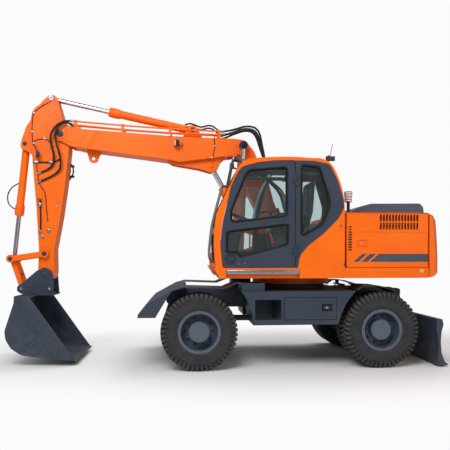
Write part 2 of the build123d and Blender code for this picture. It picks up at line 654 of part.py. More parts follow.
def hinge_leaf(z0, z1, direction):
    """Knuckle round the door hinge's axis with its leaf towards +X or -X."""
    knuckle = post(cab_hinge_x, cab_hinge_y, z0, z1, 16)
    return knuckle + block(cab_hinge_x, cab_hinge_x + direction * 46, cab_hinge_y, cab_left_y - cab_trim_thickness,
                           z0, z1)


trim = slab(trim_outline, cab_left_y - cab_trim_thickness, cab_left_y)
trim -= slab(quarter_window, cab_left_y - cab_trim_thickness - 1, cab_left_y + 1)
for z in cab_hinge_heights:
    trim += post(cab_hinge_x, cab_hinge_y, z - cab_hinge_half, z + cab_hinge_half, 9)
    for z0, z1 in ((z - cab_hinge_half, z - 32), (z + 32, z + cab_hinge_half)):
        trim += hinge_leaf(z0, z1, 1)
save("cab_trim", trim)

door_y = (cab_left_y - cab_trim_thickness, cab_left_y + cab_wall)
door = slab(door_outline, *door_y)
for window in (upper_window, lower_window):
    door -= slab(window, door_y[0] - 1, door_y[1] + 1)
door -= pin((-1034, 1520), 76, door_y[0] - 1, door_y[0] + 24)
door += slab([(-1075, 1500, 12), (-1075, 1545, 12), (-990, 1545, 12), (-990, 1500, 12)], door_y[0] + 6,
             door_y[0] + 26)
for at in ((-919, 1457), (-838, 1465)):
    door += pin(at, 14, door_y[0] - 4, door_y[0] + 2)
for z in cab_hinge_heights:
    door += hinge_leaf(z - 30, z + 30, -1)
    door -= post(cab_hinge_x, cab_hinge_y, z - cab_hinge_half - 5, z + cab_hinge_half + 5, 9 + pin_gap)
save("cab_door", door)


def pane(outline, y):
    """Flat side pane, set in its opening."""
    return extrude(offset(side_face(outline, y), amount=-glass_gap), amount=glass_thickness, dir=(0, 1, 0))


mid_wall = cab_wall / 2
glass = [pane(quarter_window, cab_left_y + mid_wall)]
glass += [pane(window, cab_right_y - mid_wall) for window in (right_front_window, right_rear_window)]
skin = cab_body(18, cab_left_y + 20, cab_right_y - 20)
skin -= cab_body(18 + glass_thickness, cab_left_y + 10, cab_right_y - 10)
for opening in curved_openings:
    glass += (skin & offset(opening, amount=-glass_gap)).solids()
save("cab_glass", Compound(children=glass))
save("door_glass", Compound(children=[pane(window, cab_left_y + mid_wall) for window in (upper_window, lower_window)]))

seat_y = (cab_left_y + cab_right_y) / 2
floor_z = deck_top + cab_wall
seat = slab([(-480, 1900, 20), (-480, 1990, 40), (-420, 2030, 60), (60, 1990, 40), (60, 1900)], seat_y - 240,
            seat_y + 240)
seat += slab([(-10, 1975), (50, 2200, 300), (100, 2640, 60), (200, 2650, 60), (170, 2200, 300), (100, 1900)],
             seat_y - 220, seat_y + 220)
seat += block(-380, 0, seat_y - 160, seat_y + 160, floor_z, 1900)
for y in (seat_y - 300, seat_y + 245):
    seat += slab([(-380, 2110, 25), (-380, 2170, 25), (60, 2190, 25), (60, 2120, 20)], y, y + 55)
    seat += block(10, 50, min(y, seat_y), max(y, seat_y), 2125, 2160)
save("seat", seat)
console = block(-420, 40, seat_y + 310, seat_y + 375, floor_z, 2060)
console_left = block(-420, 0, seat_y - 395, seat_y - 310, floor_z + 10, 1980)
column = bar((-960, seat_y, floor_z + 16), (-843, seat_y, 2112), 35)
column += block(-1010, -900, seat_y - 60, seat_y + 60, floor_z, floor_z + 40)
wheel_place = Pos(-840, seat_y, 2110) * Rot(0, 20, 0)
grip = [Vector(170 + 14 * math.cos(math.radians(turn)), 0, 14 * math.sin(math.radians(turn)))
        for turn in range(0, 360, 60)]
column += wheel_place * revolve(make_face(Polyline(*grip, close=True)), Axis.Z, 360)
column += wheel_place * Box(340, 30, 16)
save("controls", Compound(children=[console, column]))

# ---------------------------------------------------------------- rails, mirror, lamps and air cleaner
rail_y = cab_left_y + 50
cab_block = cab_body(0, *cab_y)
handrail = tube([(-1000, rail_y, 2490), (-1140, rail_y, 2530), (-1212, rail_y, 2279), (-1291, rail_y, 1969),
                 (-1331, rail_y, 1601), (-1310, rail_y, 1490), (-1190, rail_y, 1480)], 14, 38)
mirror = slab([(-1021, 2864, 12), (-989, 2865, 12), (-1048, 2538, 12), (-1090, 2538, 12)], -1240, -1060)
mirror += tube([(-1008, rail_y, 2840), (-1010, rail_y, 2884), (-650, rail_y, 2884)], 9, 20)
antenna = bar((347, -1100, 2880), (407, -1100, 3130), 4) + bar((340, -1100, 2850), (350, -1100, 2975), 13)
lamps = []
for y in (-1090, -410):
    lamp = bar((-985, y, 2905), (-925, y, 2905), 42)
    lamps.append(lamp + bar((-950, y, 2890), (-850, y, 2850), 12))
lamps.append(block(300, 420, -1190, -1130, 2890, 2950) + bar((340, -1160, 2900), (300, -1160, 2850), 12))
fittings = [piece - cab_block for piece in (handrail, mirror, antenna, *lamps)]
step_bar = block(recess_x[0] + 3, recess_x[1] - 3, -1215, -1165, 1320, 1370)
for x in (-1060, -590, -120):
    step_bar += block(x, x + 40, -1170, -deck_side_y + side_recess, 1330, 1360)
fittings.append(step_bar)
cleaner_x, cleaner_y = 688.0, -900.0
cleaner = post(cleaner_x, cleaner_y, hood_top, 2345, 24)
cleaner += post(cleaner_x, cleaner_y, 2340, 2440, 50) + post(cleaner_x, cleaner_y, 2435, 2491, 58)
fittings.append(cleaner)
save("upper_fittings", Compound(children=fittings))

# ---------------------------------------------------------------- lower boom
near_y, far_y = boom_y - boom_half_width, boom_y + boom_half_width
lower_body = [(-240, 1640, 60), (-70, 1640, 60), (-40, 1780, 100), (-290, 2430, 300), (-360, 2700, 200),
              (-500, 2985, 60), (-790, 2900, 60), (-665, 2527, 300), (-470, 2150, 300)]
lower_head = [(-400, 2750), (-533, 3084, 80), (-575, 3195, 60), (-672, 3310, 60), (-764, 3350, 60), (-850, 3310, 60),
              (-865, 3220, 60), (-815, 3100, 100), (-740, 2750)]
lower_boom = slab(lower_body, boom_y - lower_boom_half_width, boom_y + lower_boom_half_width)
lower_boom += slab(lower_head, boom_y - boom_head_half_width, boom_y + boom_head_half_width)
lower_boom -= pin(boom_foot, 45 + pin_gap, boom_y - 200, boom_y + 200)
lower_boom += pin(boom_joint, 40, boom_y - 262, boom_y + 262)
base_lug = [(-400, 1890), (-620, 1900, 60), (-745, 1955, 40), (-750, 2045, 40), (-640, 2110, 60), (-440, 2260)]
lower_boom += plates(base_lug, 80, plate)
lower_boom += pin(positioning_base, 35, boom_y - 110, boom_y + 110)
hose_clamp = block(-520, -370, boom_y - 105, boom_y + 105, 2985, 3015)
save("lower_boom", lower_boom + hose_clamp)

# ---------------------------------------------------------------- upper boom
fork_half_width = boom_head_half_width + running_gap
nose_half_width = arm_half_width + running_gap
upper_line = [(-3464, 3554, 60), (-3330, 3500, 80), (-3250, 3476, 200), (-1965, 3400, 400), (-1498, 3378),
              (-900, 3374, 300), (-765, 3357, 80), (-680, 3310, 60), (-660, 3235, 60), (-705, 3150, 60),
              (-788, 3132, 60), (-1263, 3062, 200), (-1732, 3000, 200), (-1965, 3040), (-2920, 3152), (-3160, 3183),
              (-3359, 3213, 200), (-3560, 3315, 60), (-3615, 3395, 80), (-3570, 3490, 80)]
upper_boom = slab(upper_line, near_y, far_y)
upper_boom -= pin(arm_pivot, 285, boom_y - nose_half_width, boom_y + nose_half_width)
upper_boom -= pin(boom_joint, 215, boom_y - fork_half_width, boom_y + fork_half_width)
upper_boom -= block(-1000, -560, boom_y - fork_half_width, boom_y + fork_half_width, 2900, 3260)
upper_boom -= pin(boom_joint, 40 + pin_gap, near_y - 10, far_y + 10)
belly_lug = [(-1965, 3060), (-1850, 2981, 60), (-1744, 2961, 60), (-1451, 2916, 100), (-1262, 2863, 90),
             (-1170, 2880, 90), (-1095, 3032, 60), (-1020, 3110)]
upper_boom += plates(belly_lug, 72, 52)
for side in (-1, 1):
    upper_boom += pin(positioning_eye, 35, boom_y + side * 58, boom_y + side * 136)
upper_boom += pin(arm_pivot, 50, near_y - 12, far_y + 12)
for side in (-1, 1):
    upper_boom += pin(arm_pivot, 78, boom_y + side * boom_half_width, boom_y + side * (boom_half_width + 8))
base_ear = [(-1700, 3380), (-1600, 3560, 60), (-1535, 3600, 60), (-1470, 3560, 60), (-1370, 3370)]
upper_boom += plates(base_ear, 70, plate)
upper_boom += pin(arm_cylinder_base, 35, boom_y - 100, boom_y + 100)
save("upper_boom", upper_boom)

lifting_hole = (-3050.0, 3058.0)
lifting_hole_radius = 26.0
lifting_plate = slab([(-3160, 3183), (-3125, 3090, 30), (-3105, 2995, 60), (-2995, 2995, 60), (-2965, 3090, 30),
                      (-2920, 3152)], boom_y - 15, boom_y + 15)
save("lifting_eye", lifting_plate - pin(lifting_hole, lifting_hole_radius, boom_y - 20, boom_y + 20))

pipe_radius = 13.0
pipes = []
for y in (near_y + 28, far_y - 28):
    for route in ([(-3316, 3591), (-2592, 3543), (-1878, 3508), (-1106, 3484)],
                  [(-3316, 3537), (-2592, 3482), (-1878, 3447), (-1106, 3435)]):
        pipes.append(tube([(x, y, z) for x, z in route], pipe_radius, 300))
    for x, foot, top in ((-3290, 3485, 3610), (-2592, 3437, 3562), (-1878, 3393, 3527), (-1130, 3374, 3505)):
        pipes.append(block(x - 20, x + 20, y - 17, y + 17, foot + 4, top))
pipe_solid = Part() + pipes
save("boom_pipes", pipe_solid - slab(upper_line, near_y, far_y))

# ---------------------------------------------------------------- arm
arm_line = [(-3632, 1215, 40), (-3605, 1316, 60), (-3610, 1660), (-3520, 2145), (-3450, 2632), (-3390, 3200, 60),
            (-3480, 3620, 80), (-3545, 3850), (-3800, 3850), (-3900, 3752, 60),
            (-3965, 3560, 80), (-3932, 3109, 200), (-3902, 2707), (-3868, 2305), (-3832, 1660, 200),
            (-3850, 1280, 60), (-3800, 1200, 60)]
arm = slab(arm_line, boom_y - arm_half_width, boom_y + arm_half_width)
arm -= pin(arm_pivot, 50 + pin_gap, near_y - 20, far_y + 20)
arm_tail = [(-3485, 3620), (-3535, 3830, 100), (-3564, 3946, 50), (-3632, 4010, 60), (-3700, 3990, 60),
            (-3789, 3907, 100), (-3900, 3752)]
arm += plates(arm_tail, 55, plate)
arm -= pin(arm_cylinder_eye, 190, boom_y - 55, boom_y + 55)
for side in (-1, 1):
    arm += pin(arm_cylinder_eye, 35, boom_y + side * 50, boom_y + side * 92)
lug_line = [(-3935, 3640), (-4024, 3504, 100), (-4091, 3309, 60), (-4108, 3223, 40), (-4090, 3160, 40),
            (-4020, 3150, 60), (-3915, 3060)]
arm += plates(lug_line, 85, plate)
arm += pin(bucket_cylinder_base, 32, boom_y - 115, boom_y + 115)
arm += pin(guide_pivot, 34, boom_y - 232, boom_y + 232)
arm += pin(bucket_pivot, 36, boom_y - 195, boom_y + 195)
save("arm", arm)

guide = link(guide_pivot, link_pin, 62, 58, 80, boom_y - 226, boom_y - 200, 34 + pin_gap, 0)
guide += link(guide_pivot, link_pin, 62, 58, 80, boom_y + 200, boom_y + 226, 34 + pin_gap, 0)
for side in (-1, 1):
    guide += pin(link_pin, 30, boom_y + side * 48, boom_y + side * 232)
save("guide_links", guide)
push = link(link_pin, push_pin, 54, 48, 66, boom_y - 140, boom_y - 100, 30 + pin_gap, 30 + pin_gap)
push += link(link_pin, push_pin, 54, 48, 66, boom_y + 100, boom_y + 140, 30 + pin_gap, 30 + pin_gap)
push += pin(along(link_pin, push_pin, 230), 30, boom_y - 110, boom_y + 110)
save("push_link", push)

# ---------------------------------------------------------------- coupler and bucket
coupler_line = [(-3744, 1395, 60), (-3640, 1340, 60), (-3620, 1240, 60), (-3610, 1090, 40), (-3640, 1010, 30),
                (-3720, 1000), (-4080, 1000, 40), (-4140, 1040, 40), (-4140, 1110, 40), (-4080, 1150, 40),
                (-3860, 1340, 80)]
coupler = plates(coupler_line, 158, 36)
coupler -= pin(bucket_pivot, 36 + pin_gap, boom_y - 200, boom_y + 200)
coupler += block(-3960, -3640, boom_y - 160, boom_y + 160, 1000, 1015)
for side in (-1, 1):
    coupler += pin(push_pin, 30, boom_y + side * 143, boom_y + side * 194)
hook_pins = ((-3668, 1066), (-3990, 1040))
for at in hook_pins:
    for side in (-1, 1):
        coupler += pin(at, 22, boom_y + side * 160, boom_y + side * 214)
save("quick_coupler", coupler)

bucket_outside = [(-4047, 998), (-4053, 898, 60), (-4132, 653, 200), (-4178, 506, 100), (-4164, 385, 120),
                  (-4093, 261, 150), (-3949, 160, 200), (-3491, 100, 200), (-3190, 60)]
bucket_inside = [(-3190, 75), (-3490, 122, 200), (-3943, 182, 180), (-4078, 276, 130), (-4143, 390, 100),
                 (-4156, 503, 90), (-4111, 647, 200), (-4031, 894, 60), (-4025, 976), (-3850, 976), (-3850, 998)]
bucket = slab(bucket_outside + bucket_inside, boom_y - bucket_half_width, boom_y + bucket_half_width)
side_line = bucket_outside + [(-3230, 110, 20), (-3800, 430, 420), (-3850, 998)]
ear_line = [(-3610, 976), (-3610, 1080, 30), (-3660, 1115, 30), (-3720, 1090), (-3980, 1085), (-4050, 1105, 30),
            (-4085, 1050, 20), (-4047, 976)]
for side in (-1, 1):
    ear = slab(ear_line, boom_y + side * 194, boom_y + side * 214)
    for at in hook_pins:
        ear -= pin(at, 22, boom_y - 230, boom_y + 230)
    bucket += ear
    bucket += slab(side_line, boom_y + side * bucket_half_width, boom_y + side * (bucket_half_width - bucket_plate))
bucket += block(-3850, -3600, boom_y - 230, boom_y + 230, 976, 998)
save("bucket", bucket)

# ---------------------------------------------------------------- cylinders
lift_line = (lift_base, boom_joint)
lift_y = (boom_y - lift_cylinder_offset, boom_y + lift_cylinder_offset)
save("lift_cylinder_barrels", Compound(children=[barrel(*lift_line, y, 65, 46, 38, 40, 1060, 80) for y in lift_y]))
save("lift_cylinder_rods", Compound(children=[rod(*lift_line, y, 38, 40, 760, 70) for y in lift_y]))
arm_cylinder_line = (arm_cylinder_base, arm_cylinder_eye)
save("arm_cylinder_barrel", barrel(*arm_cylinder_line, boom_y, 62, 44, 35, 35, 1300, 130))
save("arm_cylinder_rod", rod(*arm_cylinder_line, boom_y, 35, 35, 900, 90))
bucket_cylinder_line = (bucket_cylinder_base, link_pin)
save("bucket_cylinder_barrel", barrel(*bucket_cylinder_line, boom_y, 55, 40, 32, 32, 1080, 120))
save("bucket_cylinder_rod", rod(*bucket_cylinder_line, boom_y, 32, 30, 690, 90))
positioning_line = (positioning_base, positioning_eye)
save("positioning_cylinder_barrel", barrel(*positioning_line, boom_y, 66, 48, 40, 35, 740, 130))
save("positioning_cylinder_rod", rod(*positioning_line, boom_y, 40, 35, 380, 110))

# ---------------------------------------------------------------- hoses
hose_radius = 14.0
hose_bend = 90.0
clamp_x = -410.0
joint_hoses = []
foot_hoses = []
for side, spread in ((-1, 90), (-1, 45), (1, 45), (1, 90)):
    top = boom_y + side * (boom_half_width - 28)
    y = boom_y + side * spread
    start_z, rise = (3484, 0) if spread == 90 else (3435, -45)
    joint_hoses.append(tube([(-1104.5, top, start_z), (-1040, top, start_z + 4), (-900, y, 3530 + rise),
                             (-690, y, 3605 + rise), (-500 + rise, y, 3560 + rise), (-440 + rise / 2, y, 3250),
                             (clamp_x, y, 3120), (clamp_x, y, 3016)], hose_radius, hose_bend))
    foot_hoses.append(tube([(clamp_x, y, 2984), (clamp_x, y, 2890), (-340, y, 2760), (-90 + rise, y, 2560),
                            (-30 + rise, y, 2250), (60, y, 1950), (250, y, 1700), (250, y, deck_top)],
                           hose_radius, hose_bend))
save("boom_hoses", Compound(children=joint_hoses))
save("foot_hoses", Compound(children=foot_hoses))

arm_hoses = []
for side in (-1, 1):
    outer = boom_y + side * (boom_half_width + 28)
    far = outer + side * 32
    top = boom_y + side * (boom_half_width - 28)
    end = boom_y + side * (arm_half_width + hose_radius)
    arm_hoses.append(tube([(-3319, top, 3591.2), (-3380, top, 3597), (-3480, outer, 3570), (-3590, outer, 3480),
                           (-3655, outer, 3350), (-3630, outer, 3200), (-3585, outer, 3040), (-3640, end, 2860),
                           (-3850, end, 2800)], hose_radius, 70))
    arm_hoses.append(tube([(-3320, top, 3537.3), (-3345, top, 3543), (-3430, far, 3560), (-3540, far, 3470),
                           (-3585, far, 3330), (-3480, far, 3010), (-3530, end, 2780), (-3850, end, 2668)],
                          hose_radius, 70))
save("arm_hoses", Compound(children=arm_hoses))
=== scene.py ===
"""Looks of the wheeled excavator: camera, studio, finishes and the pieces too fine for the CAD model.

Units are metres in the CAD frame: -X forward, -Y the cab's side, +Z up, origin under the slewing axis.
"""
import json
import math

import bmesh
import bpy
from mathutils import Matrix, Vector


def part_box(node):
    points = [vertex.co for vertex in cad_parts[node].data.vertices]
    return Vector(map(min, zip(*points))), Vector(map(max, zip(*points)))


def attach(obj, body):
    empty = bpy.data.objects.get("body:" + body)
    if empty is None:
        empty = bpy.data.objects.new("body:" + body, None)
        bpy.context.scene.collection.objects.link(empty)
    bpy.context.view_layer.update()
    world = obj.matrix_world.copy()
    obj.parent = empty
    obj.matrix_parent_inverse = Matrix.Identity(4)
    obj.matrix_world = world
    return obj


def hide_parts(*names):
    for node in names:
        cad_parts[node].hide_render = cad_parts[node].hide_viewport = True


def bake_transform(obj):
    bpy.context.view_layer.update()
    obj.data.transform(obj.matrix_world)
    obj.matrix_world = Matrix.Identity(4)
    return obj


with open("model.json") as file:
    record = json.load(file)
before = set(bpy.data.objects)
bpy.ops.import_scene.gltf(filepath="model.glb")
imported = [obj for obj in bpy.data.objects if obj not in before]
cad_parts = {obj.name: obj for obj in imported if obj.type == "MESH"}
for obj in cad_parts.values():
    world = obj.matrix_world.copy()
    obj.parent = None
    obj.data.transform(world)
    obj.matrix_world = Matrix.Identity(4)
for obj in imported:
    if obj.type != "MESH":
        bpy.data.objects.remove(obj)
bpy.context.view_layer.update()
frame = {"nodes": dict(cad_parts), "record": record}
nodes = frame["nodes"]
SIDES = (("left", -1), ("right", 1))


# ---------------------------------------------------------------- nodes
def linear(hex_colour):
    """sRGB hex to a linear RGBA tuple."""
    channels = [int(hex_colour[i:i + 2], 16) / 255 for i in (1, 3, 5)]
    return (*[c / 12.92 if c <= 0.04045 else ((c + 0.055) / 1.055) ** 2.4 for c in channels], 1.0)


def per_metre(size_mm):
    """Texture scale at which one grain of the pattern is this many millimetres."""
    return 1000.0 / size_mm


def add(tree, kind, settings=None, **inputs):
    """Add a node to a tree; an input is a value or another node's socket."""
    node = tree.nodes.new(kind)
    for name, value in (settings or {}).items():
        setattr(node, name, value)
    for name, value in inputs.items():
        key = int(name[1:]) if name[0] == "_" and name[1:].isdigit() else name.replace("_", " ")
        socket = node.inputs[key]
        if isinstance(value, bpy.types.NodeSocket):
            tree.links.new(value, socket)
        else:
            socket.default_value = value
    return node


def new_material(name):
    """An empty node material, its tree and the piece's own coordinates in metres."""
    material = bpy.data.materials.new(name)
    material.use_nodes = True
    tree = material.node_tree
    tree.nodes.clear()
    return material, tree, add(tree, "ShaderNodeTexCoord").outputs["Object"]


def shade(tree, **sockets):
    """Close a material with its shader."""
    skin = add(tree, "ShaderNodeBsdfPrincipled", **sockets)
    add(tree, "ShaderNodeOutputMaterial", Surface=skin.outputs[0])


def patches(tree, place, size_mm, low, high, start=0.0, end=1.0, detail=2.0, roughness=0.5):
    """Clouded patches this many millimetres across: a value that goes from start to end over their edges."""
    cloud = add(tree, "ShaderNodeTexNoise", Vector=place, Scale=per_metre(size_mm), Detail=detail,
                Roughness=roughness).outputs[0]
    return add(tree, "ShaderNodeMapRange", _0=cloud, _1=low, _2=high, _3=start, _4=end).outputs[0]


def layered(tree, base, *layers):
    """A base colour with others laid over it, each a (pattern, colour) and as thick as its pattern says."""
    colour = linear(base) if isinstance(base, str) else base
    for pattern, over in layers:
        colour = add(tree, "ShaderNodeMix", {"data_type": "RGBA"}, _0=pattern, _6=colour,
                     _7=linear(over) if isinstance(over, str) else over).outputs[2]
    return colour


# ---------------------------------------------------------------- finishes
def enamel(name, colour, shadow, worn, gloss, coat, wear, lined=None):
    """Two-pack enamel sprayed on steel plate: clouded a little, rubbed at the edges, dusty low down.

    With 'lined', a point (x, y, z), faces that look towards that point are a dark cab lining instead.

    The film is drawn with its orange peel at 14 mm, coarser than the real 1 mm, so that it shows."""
    material, tree, place = new_material(name)
    rim = add(tree, "ShaderNodeBevel", {"samples": 4}, Radius=0.006).outputs[0]
    flat = add(tree, "ShaderNodeNewGeometry").outputs["Normal"]
    turn = add(tree, "ShaderNodeVectorMath", {"operation": "DOT_PRODUCT"}, _0=rim, _1=flat).outputs["Value"]
    edge = add(tree, "ShaderNodeMapRange", _0=turn, _1=0.95, _2=0.80, _3=0.0, _4=1.0).outputs[0]
    chips = patches(tree, place, 38, 0.60 - wear, 0.70 - wear, detail=4.0, roughness=0.7)
    rubbed = add(tree, "ShaderNodeMath", {"operation": "MULTIPLY"}, _0=edge, _1=chips).outputs[0]
    height = add(tree, "ShaderNodeSeparateXYZ", Vector=place).outputs["Z"]
    low = add(tree, "ShaderNodeMapRange", _0=height, _1=0.10, _2=0.95, _3=0.22, _4=0.0).outputs[0]
    dust = add(tree, "ShaderNodeMath", {"operation": "MULTIPLY"}, _0=low,
               _1=patches(tree, place, 60, 0.40, 0.75, detail=5.0, roughness=0.65)).outputs[0]
    paint = layered(tree, colour, (patches(tree, place, 520, 0.35, 0.7, detail=3.0), shadow), (rubbed, worn),
                    (dust, "#77726a"))
    if lined:
        towards = add(tree, "ShaderNodeVectorMath", {"operation": "SUBTRACT"}, _0=lined, _1=place).outputs[0]
        outward = add(tree, "ShaderNodeTexCoord").outputs["Normal"]
        inner = add(tree, "ShaderNodeVectorMath", {"operation": "DOT_PRODUCT"}, _0=outward,
                    _1=towards).outputs["Value"]
        inside = add(tree, "ShaderNodeMapRange", _0=inner, _1=0.06, _2=0.08, _3=0.0, _4=1.0).outputs[0]
        paint = layered(tree, paint, (inside, "#1c1e21"))
    dull = add(tree, "ShaderNodeMath", {"operation": "MULTIPLY_ADD"}, _0=dust, _1=0.4,
               _2=patches(tree, place, 130, 0.3, 0.75, gloss - 0.05, gloss + 0.08, 4.0)).outputs[0]
    orange_peel = add(tree, "ShaderNodeTexNoise", Vector=place, Scale=per_metre(14)).outputs[0]
    peel = add(tree, "ShaderNodeBump", Strength=0.05, Distance=0.0004, Height=orange_peel, Normal=rim)
    waves = add(tree, "ShaderNodeTexNoise", Vector=place, Scale=per_metre(310), Detail=1.0).outputs[0]
    plate = add(tree, "ShaderNodeBump", Strength=0.20, Distance=0.0025, Height=waves, Normal=peel.outputs[0])
    shade(tree, Base_Color=paint, Roughness=dull, Normal=plate.outputs[0], Coat_Weight=coat,
          Coat_Roughness=0.12, IOR=1.5, Specular_IOR_Level=0.22)
    return material


def chrome_plate():
    """Hard chrome on a ground rod: nearly mirror bright under a thin uneven oil film."""
    material, tree, place = new_material("hard_chrome")
    film = add(tree, "ShaderNodeTexNoise", Vector=place, Scale=per_metre(60), Detail=4.0).outputs[0]
    smeared = add(tree, "ShaderNodeMapRange", _0=film, _1=0.3, _2=0.7, _3=0.10, _4=0.20).outputs[0]
    shade(tree, Base_Color=layered(tree, "#d6d8dc", (film, "#bfc3ca")), Metallic=1.0, Roughness=smeared)
    return material


def bright_zinc():
    """Zinc plate on bolts, clamps and the step bar: pale blue-grey spangle, dulled by handling."""
    material, tree, place = new_material("zinc_plated_steel")
    spangle = add(tree, "ShaderNodeTexVoronoi", Vector=place, Scale=per_metre(18)).outputs["Color"]
    patch = add(tree, "ShaderNodeSeparateColor", Color=spangle).outputs[0]
    handled = add(tree, "ShaderNodeMapRange", _0=patch, _1=0.0, _2=1.0, _3=0.28, _4=0.42).outputs[0]
    shade(tree, Base_Color=layered(tree, "#9a9fa6", (patch, "#7f858d")), Metallic=1.0, Roughness=handled)
    return material


def scraped_steel():
    """Wear steel of the cutting edges: ground bare along the edge, streaked and faintly rusty."""
    material, tree, place = new_material("scraped_wear_steel")
    drag = add(tree, "ShaderNodeMapping", Vector=place, Scale=(1.0, 9.0, 1.0)).outputs[0]
    streak = add(tree, "ShaderNodeTexNoise", Vector=drag, Scale=per_metre(60), Detail=4.0,
                 Roughness=0.6).outputs[0]
    rust = patches(tree, place, 34, 0.58, 0.72, 0.0, 0.7, 4.0)
    scratched = add(tree, "ShaderNodeMapRange", _0=streak, _1=0.3, _2=0.7, _3=0.38, _4=0.6).outputs[0]
    shade(tree, Base_Color=layered(tree, "#6b6e73", (streak, "#4a4a4c"), (rust, "#6a4a36")), Metallic=0.8,
          Roughness=scratched)
    return material


def cast_metal():
    """Sand-cast iron of axles and gearboxes under thin black paint: coarse skin, dull, dusty in patches."""
    material, tree, place = new_material("painted_cast_iron")
    grit = add(tree, "ShaderNodeTexNoise", Vector=place, Scale=per_metre(9), Detail=5.0,
               Roughness=0.7).outputs[0]
    tint = layered(tree, "#2b2e33", (patches(tree, place, 160, 0.35, 0.7, detail=3.0), "#3a3a39"))
    skin = add(tree, "ShaderNodeBump", Strength=0.35, Distance=0.0012, Height=grit)
    coarse = add(tree, "ShaderNodeMapRange", _0=grit, _1=0.3, _2=0.7, _3=0.5, _4=0.75).outputs[0]
    shade(tree, Base_Color=tint, Roughness=coarse, Normal=skin.outputs[0])
    return material


def tyre_rubber():
    """Vulcanised rubber: matt black on the walls, scuffed grey-brown on the lugs by the attribute 'scuff'."""
    material, tree, place = new_material("vulcanised_tyre_rubber")
    scuff = add(tree, "ShaderNodeAttribute", {"attribute_name": "scuff"}).outputs["Fac"]
    mottle = add(tree, "ShaderNodeTexNoise", Vector=place, Scale=per_metre(26), Detail=5.0,
                 Roughness=0.65).outputs[0]
    spotty = add(tree, "ShaderNodeMapRange", _0=mottle, _1=0.36, _2=0.62, _3=0.25, _4=1.0).outputs[0]
    dusty = add(tree, "ShaderNodeMath", {"operation": "MULTIPLY"}, _0=scuff, _1=spotty).outputs[0]
    tint = layered(tree, "#262628", (patches(tree, place, 140, 0.35, 0.7, detail=3.0), "#333234"),
                   (dusty, "#4f4a44"))
    grain = add(tree, "ShaderNodeBump", Strength=0.25, Distance=0.0008, Height=mottle)
    matt = add(tree, "ShaderNodeMapRange", _0=mottle, _1=0.3, _2=0.7, _3=0.62, _4=0.85).outputs[0]
    shade(tree, Base_Color=tint, Roughness=matt, Normal=grain.outputs[0], Specular_IOR_Level=0.35)
    return material


def moulded_rubber(name, colour, bloomed, roughness):
    """Extruded or moulded rubber of hoses and seals: soft black with a dull bloom."""
    material, tree, place = new_material(name)
    bloom = add(tree, "ShaderNodeTexNoise", Vector=place, Scale=per_metre(45), Detail=4.0).outputs[0]
    bloomy = add(tree, "ShaderNodeMapRange", _0=bloom, _1=0.4, _2=0.75, _3=0.0, _4=1.0).outputs[0]
    fabric = add(tree, "ShaderNodeTexNoise", Vector=place, Scale=per_metre(5), Detail=3.0).outputs[0]
    ply = add(tree, "ShaderNodeBump", Strength=0.15, Distance=0.0005, Height=fabric)
    dull = add(tree, "ShaderNodeMapRange", _0=bloom, _1=0.3, _2=0.7, _3=roughness - 0.08, _4=roughness + 0.1)
    shade(tree, Base_Color=layered(tree, colour, (bloomy, bloomed)), Roughness=dull.outputs[0],
          Normal=ply.outputs[0], Specular_IOR_Level=0.3)
    return material


def grained_plastic(name, colour, pale):
    """Moulded ABS with a leather grain of 4 mm cells, drawn coarse so that it shows."""
    material, tree, place = new_material(name)
    cells = add(tree, "ShaderNodeTexVoronoi", Vector=place, Scale=per_metre(4)).outputs["Distance"]
    cloud = add(tree, "ShaderNodeTexNoise", Vector=place, Scale=per_metre(120), Detail=3.0).outputs[0]
    grain = add(tree, "ShaderNodeBump", Strength=0.3, Distance=0.0004, Height=cells)
    satin = add(tree, "ShaderNodeMapRange", _0=cells, _1=0.0, _2=0.6, _3=0.42, _4=0.6).outputs[0]
    shade(tree, Base_Color=layered(tree, colour, (cloud, pale)), Roughness=satin, Normal=grain.outputs[0])
    return material


def seat_cloth():
    """Woven seat cloth with 3 mm threads, drawn as a basket weave, and a soft sheen."""
    material, tree, place = new_material("woven_seat_cloth")
    warp, weft = [add(tree, "ShaderNodeTexWave", {"bands_direction": way}, Vector=place, Scale=per_metre(9),
                      Distortion=0.6, Detail=1.0).outputs["Fac"] for way in ("Y", "DIAGONAL")]
    weave = add(tree, "ShaderNodeMath", {"operation": "MULTIPLY"}, _0=warp, _1=weft).outputs[0]
    nap = add(tree, "ShaderNodeBump", Strength=0.5, Distance=0.0010, Height=weave)
    shade(tree, Base_Color=layered(tree, "#17181b", (weave, "#3b3e44")), Roughness=0.9, Normal=nap.outputs[0],
          Sheen_Weight=0.3, Sheen_Roughness=0.5)
    return material


def window_glass():
    """Tempered, lightly tinted glass: clear, hard reflections, wiped a little unevenly."""
    material, tree, place = new_material("tempered_glass")
    skin = add(tree, "ShaderNodeBsdfPrincipled", Base_Color=linear("#d5e2e2"),
               Roughness=patches(tree, place, 180, 0.4, 0.8, 0.0, 0.03, 3.0), IOR=1.45,
               Transmission_Weight=1.0)
    clear = add(tree, "ShaderNodeBsdfTransparent", Color=linear("#d5e2e2"))
    rays = add(tree, "ShaderNodeLightPath")
    both = add(tree, "ShaderNodeMixShader", Fac=rays.outputs["Is Shadow Ray"], _1=skin.outputs[0],
               _2=clear.outputs[0])
    add(tree, "ShaderNodeOutputMaterial", Surface=both.outputs[0])
    return material


